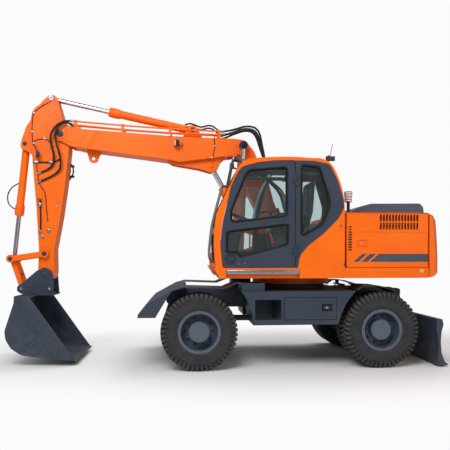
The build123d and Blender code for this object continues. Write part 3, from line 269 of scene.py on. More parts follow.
def lens(name, colour, roughness):
    """Moulded lamp lens: coloured polycarbonate, a little milky, with fine flutes inside."""
    material, tree, place = new_material(name)
    flute = add(tree, "ShaderNodeTexWave", {"bands_direction": "X"}, Vector=place,
                Scale=per_metre(22)).outputs["Fac"]
    ridges = add(tree, "ShaderNodeBump", Strength=0.4, Distance=0.001, Height=flute)
    cloud = add(tree, "ShaderNodeTexNoise", Vector=place, Scale=per_metre(40)).outputs[0]
    milky = layered(tree, colour, (0.12, layered(tree, colour, (cloud, "#ffffff"))))
    shade(tree, Base_Color=milky, Roughness=roughness, Normal=ridges.outputs[0], Coat_Weight=0.6,
          Coat_Roughness=0.03)
    return material


def vinyl_film(name, colour):
    """Cast vinyl film laid on paint: flat satin colour over the paint's faint waves."""
    material, tree, place = new_material(name)
    wave = add(tree, "ShaderNodeTexNoise", Vector=place, Scale=per_metre(240)).outputs[0]
    paler = add(tree, "ShaderNodeMapRange", _0=wave, _1=0.4, _2=0.7, _3=0.0, _4=0.25).outputs[0]
    relief = add(tree, "ShaderNodeBump", Strength=0.1, Distance=0.001, Height=wave)
    satin = add(tree, "ShaderNodeMapRange", _0=wave, _1=0.3, _2=0.7, _3=0.3, _4=0.4).outputs[0]
    shade(tree, Base_Color=layered(tree, colour, (paler, "#59616d")), Roughness=satin,
          Normal=relief.outputs[0])
    return material


CAB_MIDDLE = (-0.35, -0.75, 2.1)
orange = enamel("sprayed_orange_enamel", "#f06900", "#e86000", "#f08a48", 0.40, 0.05, 0.0)
slate = enamel("sprayed_slate_enamel", "#343d4b", "#303845", "#5d646f", 0.42, 0.05, 0.0)
cab_orange = enamel("sprayed_cab_enamel", "#f06900", "#e86000", "#f08a48", 0.40, 0.05, 0.0, CAB_MIDDLE)
charcoal = enamel("sprayed_charcoal_enamel", "#20242a", "#1a1d22", "#50555c", 0.5, 0.0, 0.02)
chrome = chrome_plate()
zinc = bright_zinc()
wear_steel = scraped_steel()
cast_iron = cast_metal()
rubber = tyre_rubber()
hose_rubber = moulded_rubber("extruded_hose_rubber", "#121417", "#2a2d31", 0.48)
# near-black rubber: the own colour of the window seals and the door seam, and painted shade where it lines
# the hood's louvres and vents and the toolbox latch recess
seal_rubber_and_shade = moulded_rubber("near_black_seal_rubber_and_painted_shade", "#050506", "#0c0d0f", 0.6)
black_plastic = grained_plastic("grained_black_abs", "#1d1f22", "#2a2c30")
dark_lining = grained_plastic("grained_dark_lining", "#1b1d20", "#26282c")
rail_grip = grained_plastic("grained_rail_sleeve", "#565c62", "#60666c")
pale_trim = grained_plastic("grained_pale_trim", "#8f979e", "#9fa6ac")
cover_paint = enamel("sprayed_cover_enamel", "#4b5666", "#465160", "#7b828c", 0.36, 0.1, 0.0)
wheel_paint = enamel("sprayed_wheel_enamel", "#4f5a69", "#485260", "#6f757f", 0.30, 0.15, 0.0)
brass = enamel("brassy_bolt_wax", "#8a6a35", "#7a5c2e", "#a08050", 0.40, 0.0, 0.0)
cloth = seat_cloth()
glass = window_glass()
stripe_film = vinyl_film("slate_vinyl_film", "#333c4a")
red_grip = grained_plastic("grained_red_grip", "#b3131a", "#c42a2c")
amber = lens("amber_lens", "#f08a10", 0.12)
clear_lens = lens("clear_lens", "#c9ced3", 0.08)
milky_bowl = lens("pale_bowl_plastic", "#cfd2d6", 0.25)

SLOT_FINISH = {"orange_paint": orange, "grey_paint": slate, "dark_paint": charcoal, "chrome_rod": chrome,
               "tyre": rubber, "glass": glass, "seat_fabric": cloth, "black_plastic": black_plastic,
               "bare_steel": zinc, "hose_rubber": hose_rubber, "cast_iron": cast_iron}
# the record's slot of each finish that a piece of this script wears; lenses and the red grip have none
FINISH_SLOT = {finish: slot for slot, finish in SLOT_FINISH.items()}
FINISH_SLOT.update({wear_steel: "bare_steel", stripe_film: "grey_paint"})
for finish in (seal_rubber_and_shade, dark_lining, rail_grip, pale_trim, milky_bowl):
    FINISH_SLOT[finish] = "black_plastic"
NODE_FINISH = {"cab_shell": cab_orange, "boom_pipes": orange, "top_cover": cover_paint,
               "slew_ring_lower": cast_iron,
               **{f"rim_{end}_{side}": wheel_paint for end in ("front", "rear") for side, _ in SIDES}}
for part in frame["record"]["subparts"]:
    item = nodes[part["node"]]
    item.data.materials.clear()
    item.data.materials.append(NODE_FINISH.get(part["node"], SLOT_FINISH[part["material_slot"]]))


# ---------------------------------------------------------------- pieces
def smoothed(mesh):
    """Round faces shaded smooth, with the edges past 38 degrees kept sharp."""
    for face in mesh.polygons:
        face.use_smooth = True
    mesh.set_sharp_from_angle(angle=math.radians(38))


def piece(name, mesh, material, body=None, smooth=True):
    """A scene object from a mesh or a bmesh, with its finish, riding on a CAD body."""
    if isinstance(mesh, bmesh.types.BMesh):
        form = mesh
        mesh = bpy.data.meshes.new(name)
        form.to_mesh(mesh)
        form.free()
    item = bpy.data.objects.new(name, mesh)
    bpy.context.collection.objects.link(item)
    if material:
        mesh.materials.clear()
        mesh.materials.append(material)
    if smooth:
        smoothed(mesh)
    if body:
        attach(item, body)
    return item


def settle(item):
    """Bake an object's modifiers or bevelled curve into a plain mesh object of the same name."""
    bpy.context.view_layer.update()
    live = item.evaluated_get(bpy.context.evaluated_depsgraph_get())
    mesh = bpy.data.meshes.new_from_object(live)
    name = item.name
    item.modifiers.clear()
    bpy.data.objects.remove(item)
    mesh.name = name
    fresh = bpy.data.objects.new(name, mesh)
    bpy.context.collection.objects.link(fresh)
    return fresh


def face_out(form):
    """Merge doubles and turn every face outwards."""
    bmesh.ops.remove_doubles(form, verts=form.verts, dist=1e-6)
    bmesh.ops.recalc_face_normals(form, faces=form.faces)
    return form


def eased(name, form, material, width):
    """A piece whose edges are eased by a small bevel, as cast, pressed or moulded parts have."""
    item = piece(name, face_out(form), material)
    bevel = item.modifiers.new("eased_edges", "BEVEL")
    bevel.width = width
    bevel.segments = 2
    bevel.limit_method = "ANGLE"
    bevel.angle_limit = math.radians(35)
    bevel.harden_normals = False
    item = settle(item)
    smoothed(item.data)
    return item


def made(name, form, material, body, width=None):
    """Finish a form as a piece on a body, with eased edges if a width is given."""
    item = eased(name, form, material, width) if width else piece(name, face_out(form), material)
    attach(item, body)
    return item


def swept(name, routes, radius, material, steps=8, roundness=3):
    """Round rods, hoses or beads along smooth routes, as NURBS curves of the third order made a mesh."""
    curve = bpy.data.curves.new(name, "CURVE")
    curve.dimensions = "3D"
    for route in routes:
        spline = curve.splines.new("NURBS")
        spline.points.add(len(route) - 1)
        for point, place in zip(spline.points, route):
            point.co = (*place, 1.0)
        spline.order_u = 3
        spline.use_endpoint_u = True
        spline.resolution_u = steps
    curve.bevel_depth = radius
    curve.bevel_resolution = roundness
    curve.use_fill_caps = True
    curve.materials.append(material)
    item = bpy.data.objects.new(name, curve)
    bpy.context.collection.objects.link(item)
    return settle(item)


def across(y, *routes):
    """Routes of (x, z) that all lie at one distance across the machine."""
    return [[(x, y, z) for x, z in route] for route in routes]


def lines(name, routes, radius, material, body):
    """Several pipes, hoses or weld beads of one size on one body."""
    item = swept(name, routes, radius, material)
    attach(item, body)
    return item


# ---------------------------------------------------------------- shapes
def bridge(form, rings, closed=False):
    """Faces from ring to ring of vertices; the end rings are filled, or with 'closed' joined together."""
    for first, second in zip(rings, rings[1:] + (rings[:1] if closed else [])):
        for i in range(len(first)):
            j = (i + 1) % len(first)
            form.faces.new((first[i], first[j], second[j], second[i]))
    if not closed:
        form.faces.new(rings[0])
        form.faces.new(rings[-1])
    return form


def prism(form, outline, y0, y1):
    """Side outline of (x, z) corners, extruded across the machine."""
    return bridge(form, [[form.verts.new((x, y, z)) for x, z in outline] for y in (y0, y1)])


def cuboid(form, low, high):
    """Block between two corners."""
    return prism(form, [(low[0], low[2]), (high[0], low[2]), (high[0], high[2]), (low[0], high[2])],
                 low[1], high[1])


def turned(form, place, way, profile, segments=24):
    """A turned part: (distance, radius) pairs about the line from 'place' along 'way', its ends closed."""
    turn = Vector((0, 0, 1)).rotation_difference(Vector(way).normalized()).to_matrix()
    place = Vector(place)
    round_once = [a * 2 * math.pi / segments for a in range(segments)]
    return bridge(form, [[form.verts.new(place + turn @ Vector((r * math.cos(a), r * math.sin(a), at)))
                          for a in round_once] for at, r in profile])


def rounded(outline, inset=0.0, steps=6):
    """Corners of (x, z, radius) in millimetres, drawn in by 'inset', as (x, z) in metres, rounded."""
    corners = [Vector((c[0], c[1])) for c in outline]
    count = len(corners)
    area = sum(corners[i - 1].x * corners[i].y - corners[i].x * corners[i - 1].y for i in range(count))
    hand = 1.0 if area > 0 else -1.0
    ways = [(corners[(i + 1) % count] - corners[i]).normalized() for i in range(count)]
    moved = []
    for i in range(count):
        a, b = [Vector((-way.y, way.x)) * hand for way in (ways[i - 1], ways[i])]
        moved.append(corners[i] + (a + b) * (inset / (1.0 + a.dot(b))))
    points = []
    for i in range(count):
        first, second = ways[i - 1], ways[i]
        turn = math.acos(max(-1.0, min(1.0, first.dot(second))))
        shorter = min((moved[i] - moved[i - 1]).length, (moved[(i + 1) % count] - moved[i]).length)
        reach = min(max(outline[i][2] - inset, 4.0) * math.tan(turn / 2), 0.49 * shorter)
        start, end = moved[i] - first * reach, moved[i] + second * reach
        for step in range(steps + 1):
            t = step / steps
            point = (start * (1 - t) ** 2 + moved[i] * 2 * t * (1 - t) + end * t ** 2) / 1000
            points.append((point.x, point.y))
    return points


def moulding(form, outline, profile, softer=None):
    """A moulding round an outline: 'profile' is a closed loop of (inset in mm, y in metres).

    'softer' is the same outline with larger corners, for the lip that lies on the glass."""
    return bridge(form, [[form.verts.new((x, y, z))
                          for x, z in rounded(softer if softer and inset > 10 else outline, inset)]
                         for inset, y in profile], closed=True)


# ---------------------------------------------------------------- trees for what repeats
def new_tree(name, sizes):
    """A geometry tree with a mesh input and named number inputs; returns the tree and its inputs."""
    tree = bpy.data.node_groups.new(name, "GeometryNodeTree")
    tree.interface.new_socket("Geometry", in_out="INPUT", socket_type="NodeSocketGeometry")
    for label, kind, value in sizes:
        socket = tree.interface.new_socket(label, in_out="INPUT", socket_type=kind)
        if value is not None:
            socket.default_value = value
    tree.interface.new_socket("Geometry", in_out="OUTPUT", socket_type="NodeSocketGeometry")
    return tree, add(tree, "NodeGroupInput").outputs


def close_tree(tree, geometry, material):
    """Realize the instances and give them their finish."""
    real = add(tree, "GeometryNodeRealizeInstances", Geometry=geometry)
    done = add(tree, "GeometryNodeSetMaterial", Geometry=real.outputs[0], Material=material)
    add(tree, "NodeGroupOutput", Geometry=done.outputs[0])
    return tree


def apply_tree(item, tree, body, slot, **sizes):
    """Run a tree on an object with named sizes; the result is a plain mesh on a body."""
    grower = item.modifiers.new(tree.name, "NODES")
    grower.node_group = tree
    sockets = {s.name: s.identifier for s in tree.interface.items_tree if s.in_out == "INPUT"}
    for label, value in sizes.items():
        grower[sockets[label.replace("_", " ")]] = value
    item = settle(item)
    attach(item, body)
    return item


def bolt_tree(name, material):
    """Hexagon bolt heads on washers, one at each vertex, square to the attribute 'facing'."""
    tree, sizes = new_tree(name, (("Head width", "NodeSocketFloat", 0.024),
                                  ("Head height", "NodeSocketFloat", 0.010),
                                  ("Washer width", "NodeSocketFloat", 0.034)))
    head_radius, washer_radius, middle = [
        add(tree, "ShaderNodeMath", {"operation": "MULTIPLY"}, _0=sizes[label], _1=0.5).outputs[0]
        for label in ("Head width", "Washer width", "Head height")]
    head = add(tree, "GeometryNodeMeshCylinder", Vertices=6, Radius=head_radius, Depth=sizes["Head height"])
    washer = add(tree, "GeometryNodeMeshCylinder", Vertices=16, Radius=washer_radius, Depth=0.004)
    lift = add(tree, "ShaderNodeCombineXYZ", Z=middle)
    raised = add(tree, "GeometryNodeTransform", Geometry=head.outputs[0], Translation=lift.outputs[0])
    both = add(tree, "GeometryNodeJoinGeometry")
    tree.links.new(raised.outputs[0], both.inputs[0])
    tree.links.new(washer.outputs[0], both.inputs[0])
    facing = add(tree, "GeometryNodeInputNamedAttribute", {"data_type": "FLOAT_VECTOR"}, Name="facing")
    turn = add(tree, "FunctionNodeAlignRotationToVector", Vector=facing.outputs[0])
    heads = add(tree, "GeometryNodeInstanceOnPoints", Points=sizes["Geometry"], Instance=both.outputs[0],
                Rotation=turn.outputs[0])
    return close_tree(tree, heads.outputs[0], material)


def ring_tree(name, material):
    """Copies of the input mesh, turned evenly about the Y axis at Centre."""
    tree, sizes = new_tree(name, (("Count", "NodeSocketInt", 48), ("Centre", "NodeSocketVector", (0, 0, 0))))
    line = add(tree, "GeometryNodeMeshLine", Count=sizes["Count"], Start_Location=sizes["Centre"],
               Offset=(0.0, 0.0, 0.0))
    index = add(tree, "GeometryNodeInputIndex")
    share = add(tree, "ShaderNodeMath", {"operation": "DIVIDE"}, _0=index.outputs[0], _1=sizes["Count"])
    angle = add(tree, "ShaderNodeMath", {"operation": "MULTIPLY"}, _0=share.outputs[0], _1=2 * math.pi)
    turn = add(tree, "ShaderNodeCombineXYZ", Y=angle.outputs[0])
    ring = add(tree, "GeometryNodeInstanceOnPoints", Points=line.outputs[0], Instance=sizes["Geometry"],
               Rotation=turn.outputs[0])
    return close_tree(tree, ring.outputs[0], material)


def row_tree(name):
    """Copies of the input mesh at each vertex of a straight row: Count of them, Step apart."""
    tree, sizes = new_tree(name, (("Count", "NodeSocketInt", 10), ("Step", "NodeSocketVector", (0, 0, 0)),
                                  ("Finish", "NodeSocketMaterial", None)))
    line = add(tree, "GeometryNodeMeshLine", Count=sizes["Count"], Start_Location=(0.0, 0.0, 0.0),
               Offset=sizes["Step"])
    row = add(tree, "GeometryNodeInstanceOnPoints", Points=line.outputs[0], Instance=sizes["Geometry"])
    return close_tree(tree, row.outputs[0], sizes["Finish"])


ROW = row_tree("row_of_copies")
PAINTED_BOLTS = bolt_tree("painted_bolts", charcoal)
WAXED_BOLTS = bolt_tree("waxed_bolts", brass)
TREAD = ring_tree("tread_lugs", rubber)


def bolt_circle(name, body, tree, centre, y, sign, radius, seat, count, first, head, height, washer):
    """A circle of bolt heads that look out along Y, round the point (x, z) of a wheel."""
    turns = [2 * math.pi * (i + first) / count for i in range(count)]
    mesh = bpy.data.meshes.new(name)
    mesh.from_pydata([(centre[0] + radius * math.cos(turn), y + sign * seat,
                       centre[1] + radius * math.sin(turn)) for turn in turns], [], [])
    facing = mesh.attributes.new("facing", "FLOAT_VECTOR", "POINT")
    for value in facing.data:
        value.vector = (0, sign, 0)
    apply_tree(piece(name, mesh, None, smooth=False), tree, body, "bare_steel", Head_width=head,
               Head_height=height, Washer_width=washer)


# ---------------------------------------------------------------- tyres and wheels
TYRE_HALF = 0.135
TWIN_SPACING = 0.32
# half of the carcass's section as (offset from the middle, radius), bead to crown
CARCASS = ((0.09, 0.264), (0.098, 0.292), (0.11, 0.304), (0.121, 0.326), (0.1225, 0.334),
           (0.1265, 0.336), (0.131, 0.356), (0.1345, 0.386), (0.134, 0.412), (0.1372, 0.418),
           (0.1372, 0.425), (0.1335, 0.43), (0.127, 0.452), (0.113, 0.482), (0.094, 0.496),
           (0.06, 0.501), (0.0, 0.503))
# a lug's stations from the middle of the tread to the wall: outer (y, radius), base (y, radius), lean
LUG = (((0.008, 0.5265), (0.008, 0.498), -0.012), ((0.058, 0.5265), (0.058, 0.498), -0.003),
       ((0.106, 0.523), (0.103, 0.494), 0.004), ((0.128, 0.507), (0.118, 0.484), 0.004),
       ((0.1375, 0.482), (0.124, 0.466), 0.002), ((0.139, 0.452), (0.128, 0.448), 0.0),
       ((0.1365, 0.434), (0.131, 0.432), 0.0))
LUG_TOP = 0.019
LUG_FOOT = 0.0235
LUGS = 48
ROUND = 96  # corners of a tyre's wall
# radius of the circle, seat from the outer tyre's middle, count, share of a step that the first is
# turned, then width and height of the head and width of the washer
HUB_BOLTS = (0.122, 0.0655, 8, 0.3, 0.015, 0.006, 0.017)
WHEEL_NUTS = (0.19, -0.085, 10, 0.0, 0.025, 0.018, 0.032)


def lug(form, middle, way, phase):
    """One shoulder lug about the Y axis at the origin, on the side 'way' of a tyre centred at y = middle."""
    turn = Matrix.Rotation(phase, 3, "Y")
    bridge(form, [[form.verts.new(turn @ Vector((half + lean * way, middle + way * y, radius)))
                   for half, (y, radius) in ((-LUG_TOP, outer), (LUG_TOP, outer), (LUG_FOOT, base),
                                             (-LUG_FOOT, base))]
                  for outer, base, lean in LUG])


def scuffed(mesh, centre, share):
    """Mark how scuffed the rubber is: fully on the tread, not at all on the walls."""
    scuff = mesh.attributes.new("scuff", "FLOAT", "POINT")
    for value, vertex in zip(scuff.data, mesh.vertices):
        radius = math.hypot(vertex.co.x - centre[0], vertex.co.z - centre[1])
        value.value = share * max(0.0, min(1.0, (radius - 0.475) / 0.04))


AROUND = [2 * math.pi * i / ROUND for i in range(ROUND)]
for end in ("front", "rear"):
    for side, sign in SIDES:
        wheel, wheel_body = f"{end}_{side}", f"wheel_{end}_{side}"
        low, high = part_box(f"tyres_{wheel}")
        centre = ((low.x + high.x) / 2, (low.z + high.z) / 2)
        outer = (low.y if sign < 0 else high.y) - sign * TYRE_HALF
        middles = (outer, outer - sign * TWIN_SPACING)
        form = bmesh.new()
        for middle in middles:
            section = [(middle - y, r) for y, r in CARCASS] + [(middle + y, r) for y, r in CARCASS[-2::-1]]
            bridge(form, [[form.verts.new((centre[0] + r * math.sin(a), y, centre[1] + r * math.cos(a)))
                           for a in AROUND] for y, r in section], closed=True)
        walls = piece(f"tyre_walls_{wheel}", face_out(form), rubber, wheel_body)
        scuffed(walls.data, centre, 0.5)
        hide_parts(f"tyres_{end}_{side}")
        form = bmesh.new()
        for middle in middles:
            lug(form, middle, 1, 0.0)
            lug(form, middle, -1, math.pi / LUGS)
        lugs = piece(f"tyre_lugs_{wheel}", face_out(form), None, smooth=False)
        lugs = apply_tree(lugs, TREAD, wheel_body, "tyre", Count=LUGS, Centre=(centre[0], 0.0, centre[1]))
        scuffed(lugs.data, centre, 1.0)
        for bolts, tree, sizes in (("hub_bolts", WAXED_BOLTS, HUB_BOLTS),
                                   ("wheel_nuts", PAINTED_BOLTS, WHEEL_NUTS)):
            bolt_circle(f"{bolts}_{wheel}", wheel_body, tree, centre, outer, sign, *sizes)


# ---------------------------------------------------------------- hoses
HOSE = 0.0155
MID = 0.08
# crimped steel sleeve with two grooves: (distance, radius)
FERRULE = ((0.0, 0.0133), (0.0012, 0.019), (0.0204, 0.019), (0.024, 0.01596), (0.0276, 0.019), (0.042, 0.019),
           (0.0456, 0.01596), (0.0492, 0.019), (0.0582, 0.019), (0.06, 0.01406))
hoses = {"boom_hoses": [], "foot_hoses": [], "arm_hoses": []}
for side, spread in ((-1, 0.09), (-1, 0.045), (1, 0.045), (1, 0.09)):
    top, y = MID + side * 0.172, MID + side * spread
    start, rise = (3.484, 0.0) if spread > 0.05 else (3.435, -0.045)
    hoses["boom_hoses"].append([(-1.1045, top, start), (-1.04, top, start + 0.004), (-0.9, y, 3.53 + rise),
                                (-0.69, y, 3.605 + rise), (-0.5 + rise, y, 3.56 + rise),
                                (-0.44 + rise / 2, y, 3.25), (-0.41, y, 3.12), (-0.41, y, 3.016)])
    hoses["foot_hoses"].append([(-0.41, y, 2.984), (-0.41, y, 2.89), (-0.34, y, 2.76),
                                (-0.09 + rise, y, 2.56), (-0.03 + rise, y, 2.25), (0.06, y, 1.95),
                                (0.25, y, 1.7), (0.25, y, 1.4)])
for side in (-1, 1):
    outer = MID + side * 0.228
    far = outer + side * 0.032
    top, end = MID + side * 0.172, MID + side * 0.164
    hoses["arm_hoses"].append([(-3.319, top, 3.5912), (-3.38, top, 3.597), (-3.48, outer, 3.57),
                               (-3.59, outer, 3.48), (-3.655, outer, 3.35), (-3.63, outer, 3.2),
                               (-3.585, outer, 3.04), (-3.64, end, 2.86), (-3.85, end, 2.8)])
    hoses["arm_hoses"].append([(-3.32, top, 3.5373), (-3.345, top, 3.543), (-3.43, far, 3.56),
                               (-3.54, far, 3.47), (-3.585, far, 3.33), (-3.48, far, 3.01),
                               (-3.53, end, 2.78), (-3.85, end, 2.668)])
tubes = {name: swept(f"{name}_rubber", routes, HOSE, hose_rubber, 12, 4) for name, routes in hoses.items()}
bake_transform(tubes["boom_hoses"])
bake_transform(tubes["foot_hoses"])
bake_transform(tubes["arm_hoses"])
# the body that carries the sleeves of each set's first and last ends
SLEEVES = {"boom_hoses": ("upper_boom", "lower_boom"), "foot_hoses": ("lower_boom", "upper_structure"),
           "arm_hoses": ("upper_boom", "arm")}
for name, tube in tubes.items():
    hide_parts(name)
    for last, body in enumerate(SLEEVES[name]):
        form = bmesh.new()
        for route in hoses[name]:
            tip, inward = route[::-1][:2] if last else route[:2]
            turned(form, tip, Vector(inward) - Vector(tip), FERRULE, 16)
        made(f"{name}_sleeves_{body}", form, zinc, body)

# ---------------------------------------------------------------- hood: film stripes, and painted shade in the louvres and vents
FILM = 0.0006
SKIN_STEP = 0.009  # the door's lower skin lies this far behind its frame
STRIPE_LOW, STRIPE_HIGH = 1.483, 1.594
DOOR_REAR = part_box("service_door_left")[1].x - 0.004
# each stripe's front and rear ends along its foot, then along its top
STRIPES = ((0.684, 0.75, 0.811, 0.875), (0.792, 0.884, 0.919, 1.01), (0.919, DOOR_REAR, 1.05, DOOR_REAR))


def louvre(form, x, z0, z1, half, lean, y0, y1):
    """One hood slot drawn as painted shade: a leaning round-ended near-black loop of moulding, closed behind
    by a near-black pan that stands for the shade inside the slot.
    """
    loops = [[], []]
    for z, first in ((z0 + half, 180), (z1 - half, 0)):
        shift = lean * (z - (z0 + z1) / 2) / (z1 - z0)
        for step in range(7):
            turn = math.radians(first + 180 * step / 6)
            for loop, radius in zip(loops, (half, half - 0.003)):
                loop.append((x + shift + radius * math.cos(turn), z + radius * math.sin(turn)))
    outline, inner = loops
    bridge(form, [[form.verts.new((px, y, pz)) for px, pz in loop]
                  for loop, y in ((outline, y0), (outline, y1), (inner, y1), (inner, y0))])


for side, sign in SIDES:
    door = f"service_door_{side}"
    low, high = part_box(door)
    face = low.y if sign < 0 else high.y
    skin = face - sign * SKIN_STEP
    form = bmesh.new()
    for low_x0, low_x1, top_x0, top_x1 in STRIPES:
        prism(form, [(low_x0, STRIPE_LOW), (low_x1, STRIPE_LOW), (top_x1, STRIPE_HIGH),
                     (top_x0, STRIPE_HIGH)], skin, skin + sign * FILM)
    stripes = piece(f"hood_stripes_{side}", face_out(form), stripe_film, door, smooth=False)
    form = bmesh.new()
    # the louvres are near-black loops and pans: painted shade inside the hood's slots
    louvre(form, 1.074, 2.049, 2.149, 0.0158, 0.012, face - sign * 0.003, face + sign * 0.0015)
    louvre(form, 1.074, 1.931, 2.039, 0.015, 0.034, face - sign * 0.003, face + sign * 0.0015)
    apply_tree(piece(f"hood_louvres_painted_shade_{side}", face_out(form), seal_rubber_and_shade, smooth=False), ROW, door,
               "black_plastic", Count=13, Step=(0.044, 0.0, 0.0), Finish=seal_rubber_and_shade)

    # lock in the latch pad, and the column of vents as near-black slabs: painted shade in the vent openings
    form = turned(bmesh.new(), (0.804, skin - sign * 0.004, 1.734), (0, sign, 0),
                  ((0, 0.012), (0.003, 0.012), (0.0045, 0.009)), 16)
    made(f"hood_lock_{side}", form, zinc, door)
    form = prism(bmesh.new(), rounded([(608, 1642, 9), (663, 1642, 9), (663, 1661, 9), (608, 1661, 9)]),
                 skin - sign * 0.003, skin + sign * 0.0015)
    apply_tree(piece(f"hood_vents_painted_shade_{side}", face_out(form), black_plastic, smooth=False), ROW, door,
               "black_plastic", Count=10, Step=(0.0, 0.0, 0.035), Finish=seal_rubber_and_shade)

# ---------------------------------------------------------------- cab: seals, blind panel, door seam
DOOR_FACE = -1.206
UPPER_WINDOW = [(-1036, 2190, 120), (-812, 2745, 130), (-246, 2797, 55), (-246, 2113, 60), (-1040, 2012, 75)]
LOWER_WINDOW = [(-1092, 1905, 40), (-232, 2013, 40), (-238, 1716, 45), (-905, 1545, 30), (-950, 1600, 20),
                (-1100, 1612, 20)]
QUARTER_WINDOW = [(-62, 2828, 40), (205, 2803, 70), (371, 2299, 300), (251, 1998, 160), (-6, 1846, 60),
                  (-66, 1860, 30)]
SEAL = ((-6, DOOR_FACE + 0.001), (-6, DOOR_FACE - 0.003), (-1, DOOR_FACE - 0.0055), (8, DOOR_FACE - 0.005),
        (17, DOOR_FACE + 0.002), (28, -1.183), (29, -1.1785), (1, -1.1785))
SOFT_QUARTER = [(-62, 2828, 60), (205, 2803, 110), (371, 2299, 900), (251, 1998, 600), (-6, 1846, 80),
                (-66, 1860, 40)]
for name, outlines, body in (("door_seals", ((UPPER_WINDOW, None), (LOWER_WINDOW, None)), "cab_door"),
                             ("quarter_seal", ((QUARTER_WINDOW, SOFT_QUARTER),), "upper_structure")):
    form = bmesh.new()
    for outline, softer in outlines:
        moulding(form, outline, SEAL, softer)
    made(name, form, seal_rubber_and_shade, body)
form = prism(bmesh.new(), rounded([(-1090, 1903, 38), (-932, 1923, 4), (-932, 1578, 4), (-952, 1602, 18),
                                   (-1098, 1614, 18)]), -1.17, -1.164)
made("door_blind_panel", form, seal_rubber_and_shade, "cab_door")
form = cuboid(bmesh.new(), (-0.1448, -1.2028, 1.41), (-0.1345, -1.2003, 2.874))
made("door_hinge_seam", form, seal_rubber_and_shade, "upper_structure")
# pull handle in its recess: a lever over the cup
form = prism(bmesh.new(), rounded([(-1068, 1552, 16), (-1034, 1560, 12), (-1006, 1492, 12),
                                   (-1038, 1478, 16)]), -1.2105, -1.199)
made("door_handle", form, black_plastic, "cab_door", 0.004)
form = bmesh.new()
for x, z in ((-0.919, 1.457), (-0.838, 1.465)):
    turned(form, (x, DOOR_FACE - 0.003, z), (0, -1, 0), ((0, 0.0105), (0.004, 0.0105), (0.006, 0.008)), 16)
made("door_locks", form, zinc, "cab_door")

# ---------------------------------------------------------------- cab inside: headliner, pillar trim, levers
form = bmesh.new()
cuboid(form, (-0.2, -1.13, 2.69), (0.33, -0.37, 2.735))
cuboid(form, (-0.88, -1.13, 2.69), (-0.76, -0.37, 2.73))
cuboid(form, (-0.78, -1.13, 2.7), (-0.19, -1.06, 2.75))
cuboid(form, (-0.78, -0.44, 2.7), (-0.19, -0.37, 2.75))
made("headliner", form, dark_lining, "upper_structure", 0.012)
rib = cuboid(bmesh.new(), (-0.185, -1.12, 2.684), (-0.173, -0.38, 2.694))
apply_tree(piece("headliner_ribs", face_out(rib), dark_lining, smooth=False), ROW, "upper_structure",
           "black_plastic", Count=18, Step=(0.028, 0.0, 0.0), Finish=dark_lining)
lines("pillar_trim",
      across(-0.365, [(-0.632, 2.06), (-0.6, 2.3), (-0.53, 2.5), (-0.45, 2.68), (-0.38, 2.79)]),
      0.022, pale_trim, "upper_structure")
lines("grab_rail",
      [[(-0.585, -0.38, 2.19), (-0.56, -0.4, 2.215), (-0.45, -0.4, 2.23), (-0.292, -0.4, 2.244),
        (-0.225, -0.4, 2.235), (-0.215, -0.38, 2.19)]], 0.011, black_plastic, "upper_structure")
form = bmesh.new()
cuboid(form, (-1.06, -1.13, 1.446), (0.2, -0.37, 1.46))
cuboid(form, (0.215, -1.13, 1.446), (0.49, -0.37, 1.96))
cuboid(form, (-0.06, -0.42, 1.84), (0.49, -0.365, 2.06))
made("floor_mat_and_shelf", form, pale_trim, "upper_structure", 0.01)
lines("lock_lever_rod", [[(-0.46, -1.06, 1.64), (-0.44, -1.062, 1.74), (-0.445, -1.064, 1.8),
                          (-0.47, -1.066, 1.86)]], 0.009, charcoal, "upper_structure")
lines("lock_lever_grip", [[(-0.438, -1.062, 1.735), (-0.442, -1.064, 1.79), (-0.47, -1.066, 1.862),
                           (-0.482, -1.066, 1.885)]], 0.017, red_grip, "upper_structure")
STICK = ((0, 0.02), (0.02, 0.022), (0.06, 0.015), (0.1, 0.017), (0.15, 0.022), (0.17, 0.02), (0.18, 0.012))
form = bmesh.new()
for y in (-1.075, -0.4):
    turned(form, (-0.33, y, 2.06), (-0.25, 0.0, 1.0), STICK, 16)
made("joysticks", form, black_plastic, "upper_structure")

# ---------------------------------------------------------------- cab outside: handrail, step, markers
lines("handrail_sleeve",
      across(-1.15, [(-1.15, 2.5), (-1.175, 2.41), (-1.212, 2.279), (-1.256, 2.11), (-1.291, 1.969),
                     (-1.31, 1.8), (-1.329, 1.61), (-1.322, 1.54)]), 0.0195, rail_grip, "upper_structure")
form = cuboid(bmesh.new(), (-1.094, -1.222, 1.315), (-0.083, -1.164, 1.374))
made("step_tread", form, zinc, "upper_structure", 0.008)
tooth = turned(bmesh.new(), (-1.07, -1.193, 1.3735), (0, 0, 1),
               ((0, 0.012), (0.0035, 0.01), (0.004, 0.007), (0.001, 0.005)), 10)
apply_tree(piece("step_teeth", face_out(tooth), zinc), ROW, "upper_structure", "bare_steel", Count=30,
           Step=(0.0335, 0.0, 0.0), Finish=zinc)
MARKER = ((-0.002, 0.03), (0.005, 0.03), (0.009, 0.025), (0.012, 0.014), (0.013, 0.004))
form = bmesh.new()
for side, sign in SIDES:
    turned(form, (1.673, sign * 1.2, 1.353), (0, sign, 0), MARKER, 20)
made("side_markers", form, amber, "upper_structure")
form = prism(bmesh.new(), rounded([(475, 2006, 20), (520, 2016, 24), (530, 1925, 26), (500, 1898, 22),
                                   (476, 1925, 24)]), -1.207, -1.1985)
made("filler_flap", form, orange, "upper_structure", 0.003)
form = bmesh.new()
for place, profile, segments in (
        ((0.501, -1.2065, 1.984), ((0, 0.011), (0.003, 0.011), (0.004, 0.008)), 16),
        ((0.501, -1.2065, 1.95), ((0, 0.006), (0.003, 0.006), (0.004, 0.004)), 12),
        ((0.557, -1.1995, 1.45), ((0, 0.017), (0.006, 0.017), (0.009, 0.012)), 16),
        ((0.319, -1.2055, 2.795), ((0, 0.014), (0.004, 0.014), (0.006, 0.01)), 16)):
    turned(form, place, (0, -1, 0), profile, segments)
made("cab_plugs", form, black_plastic, "upper_structure")

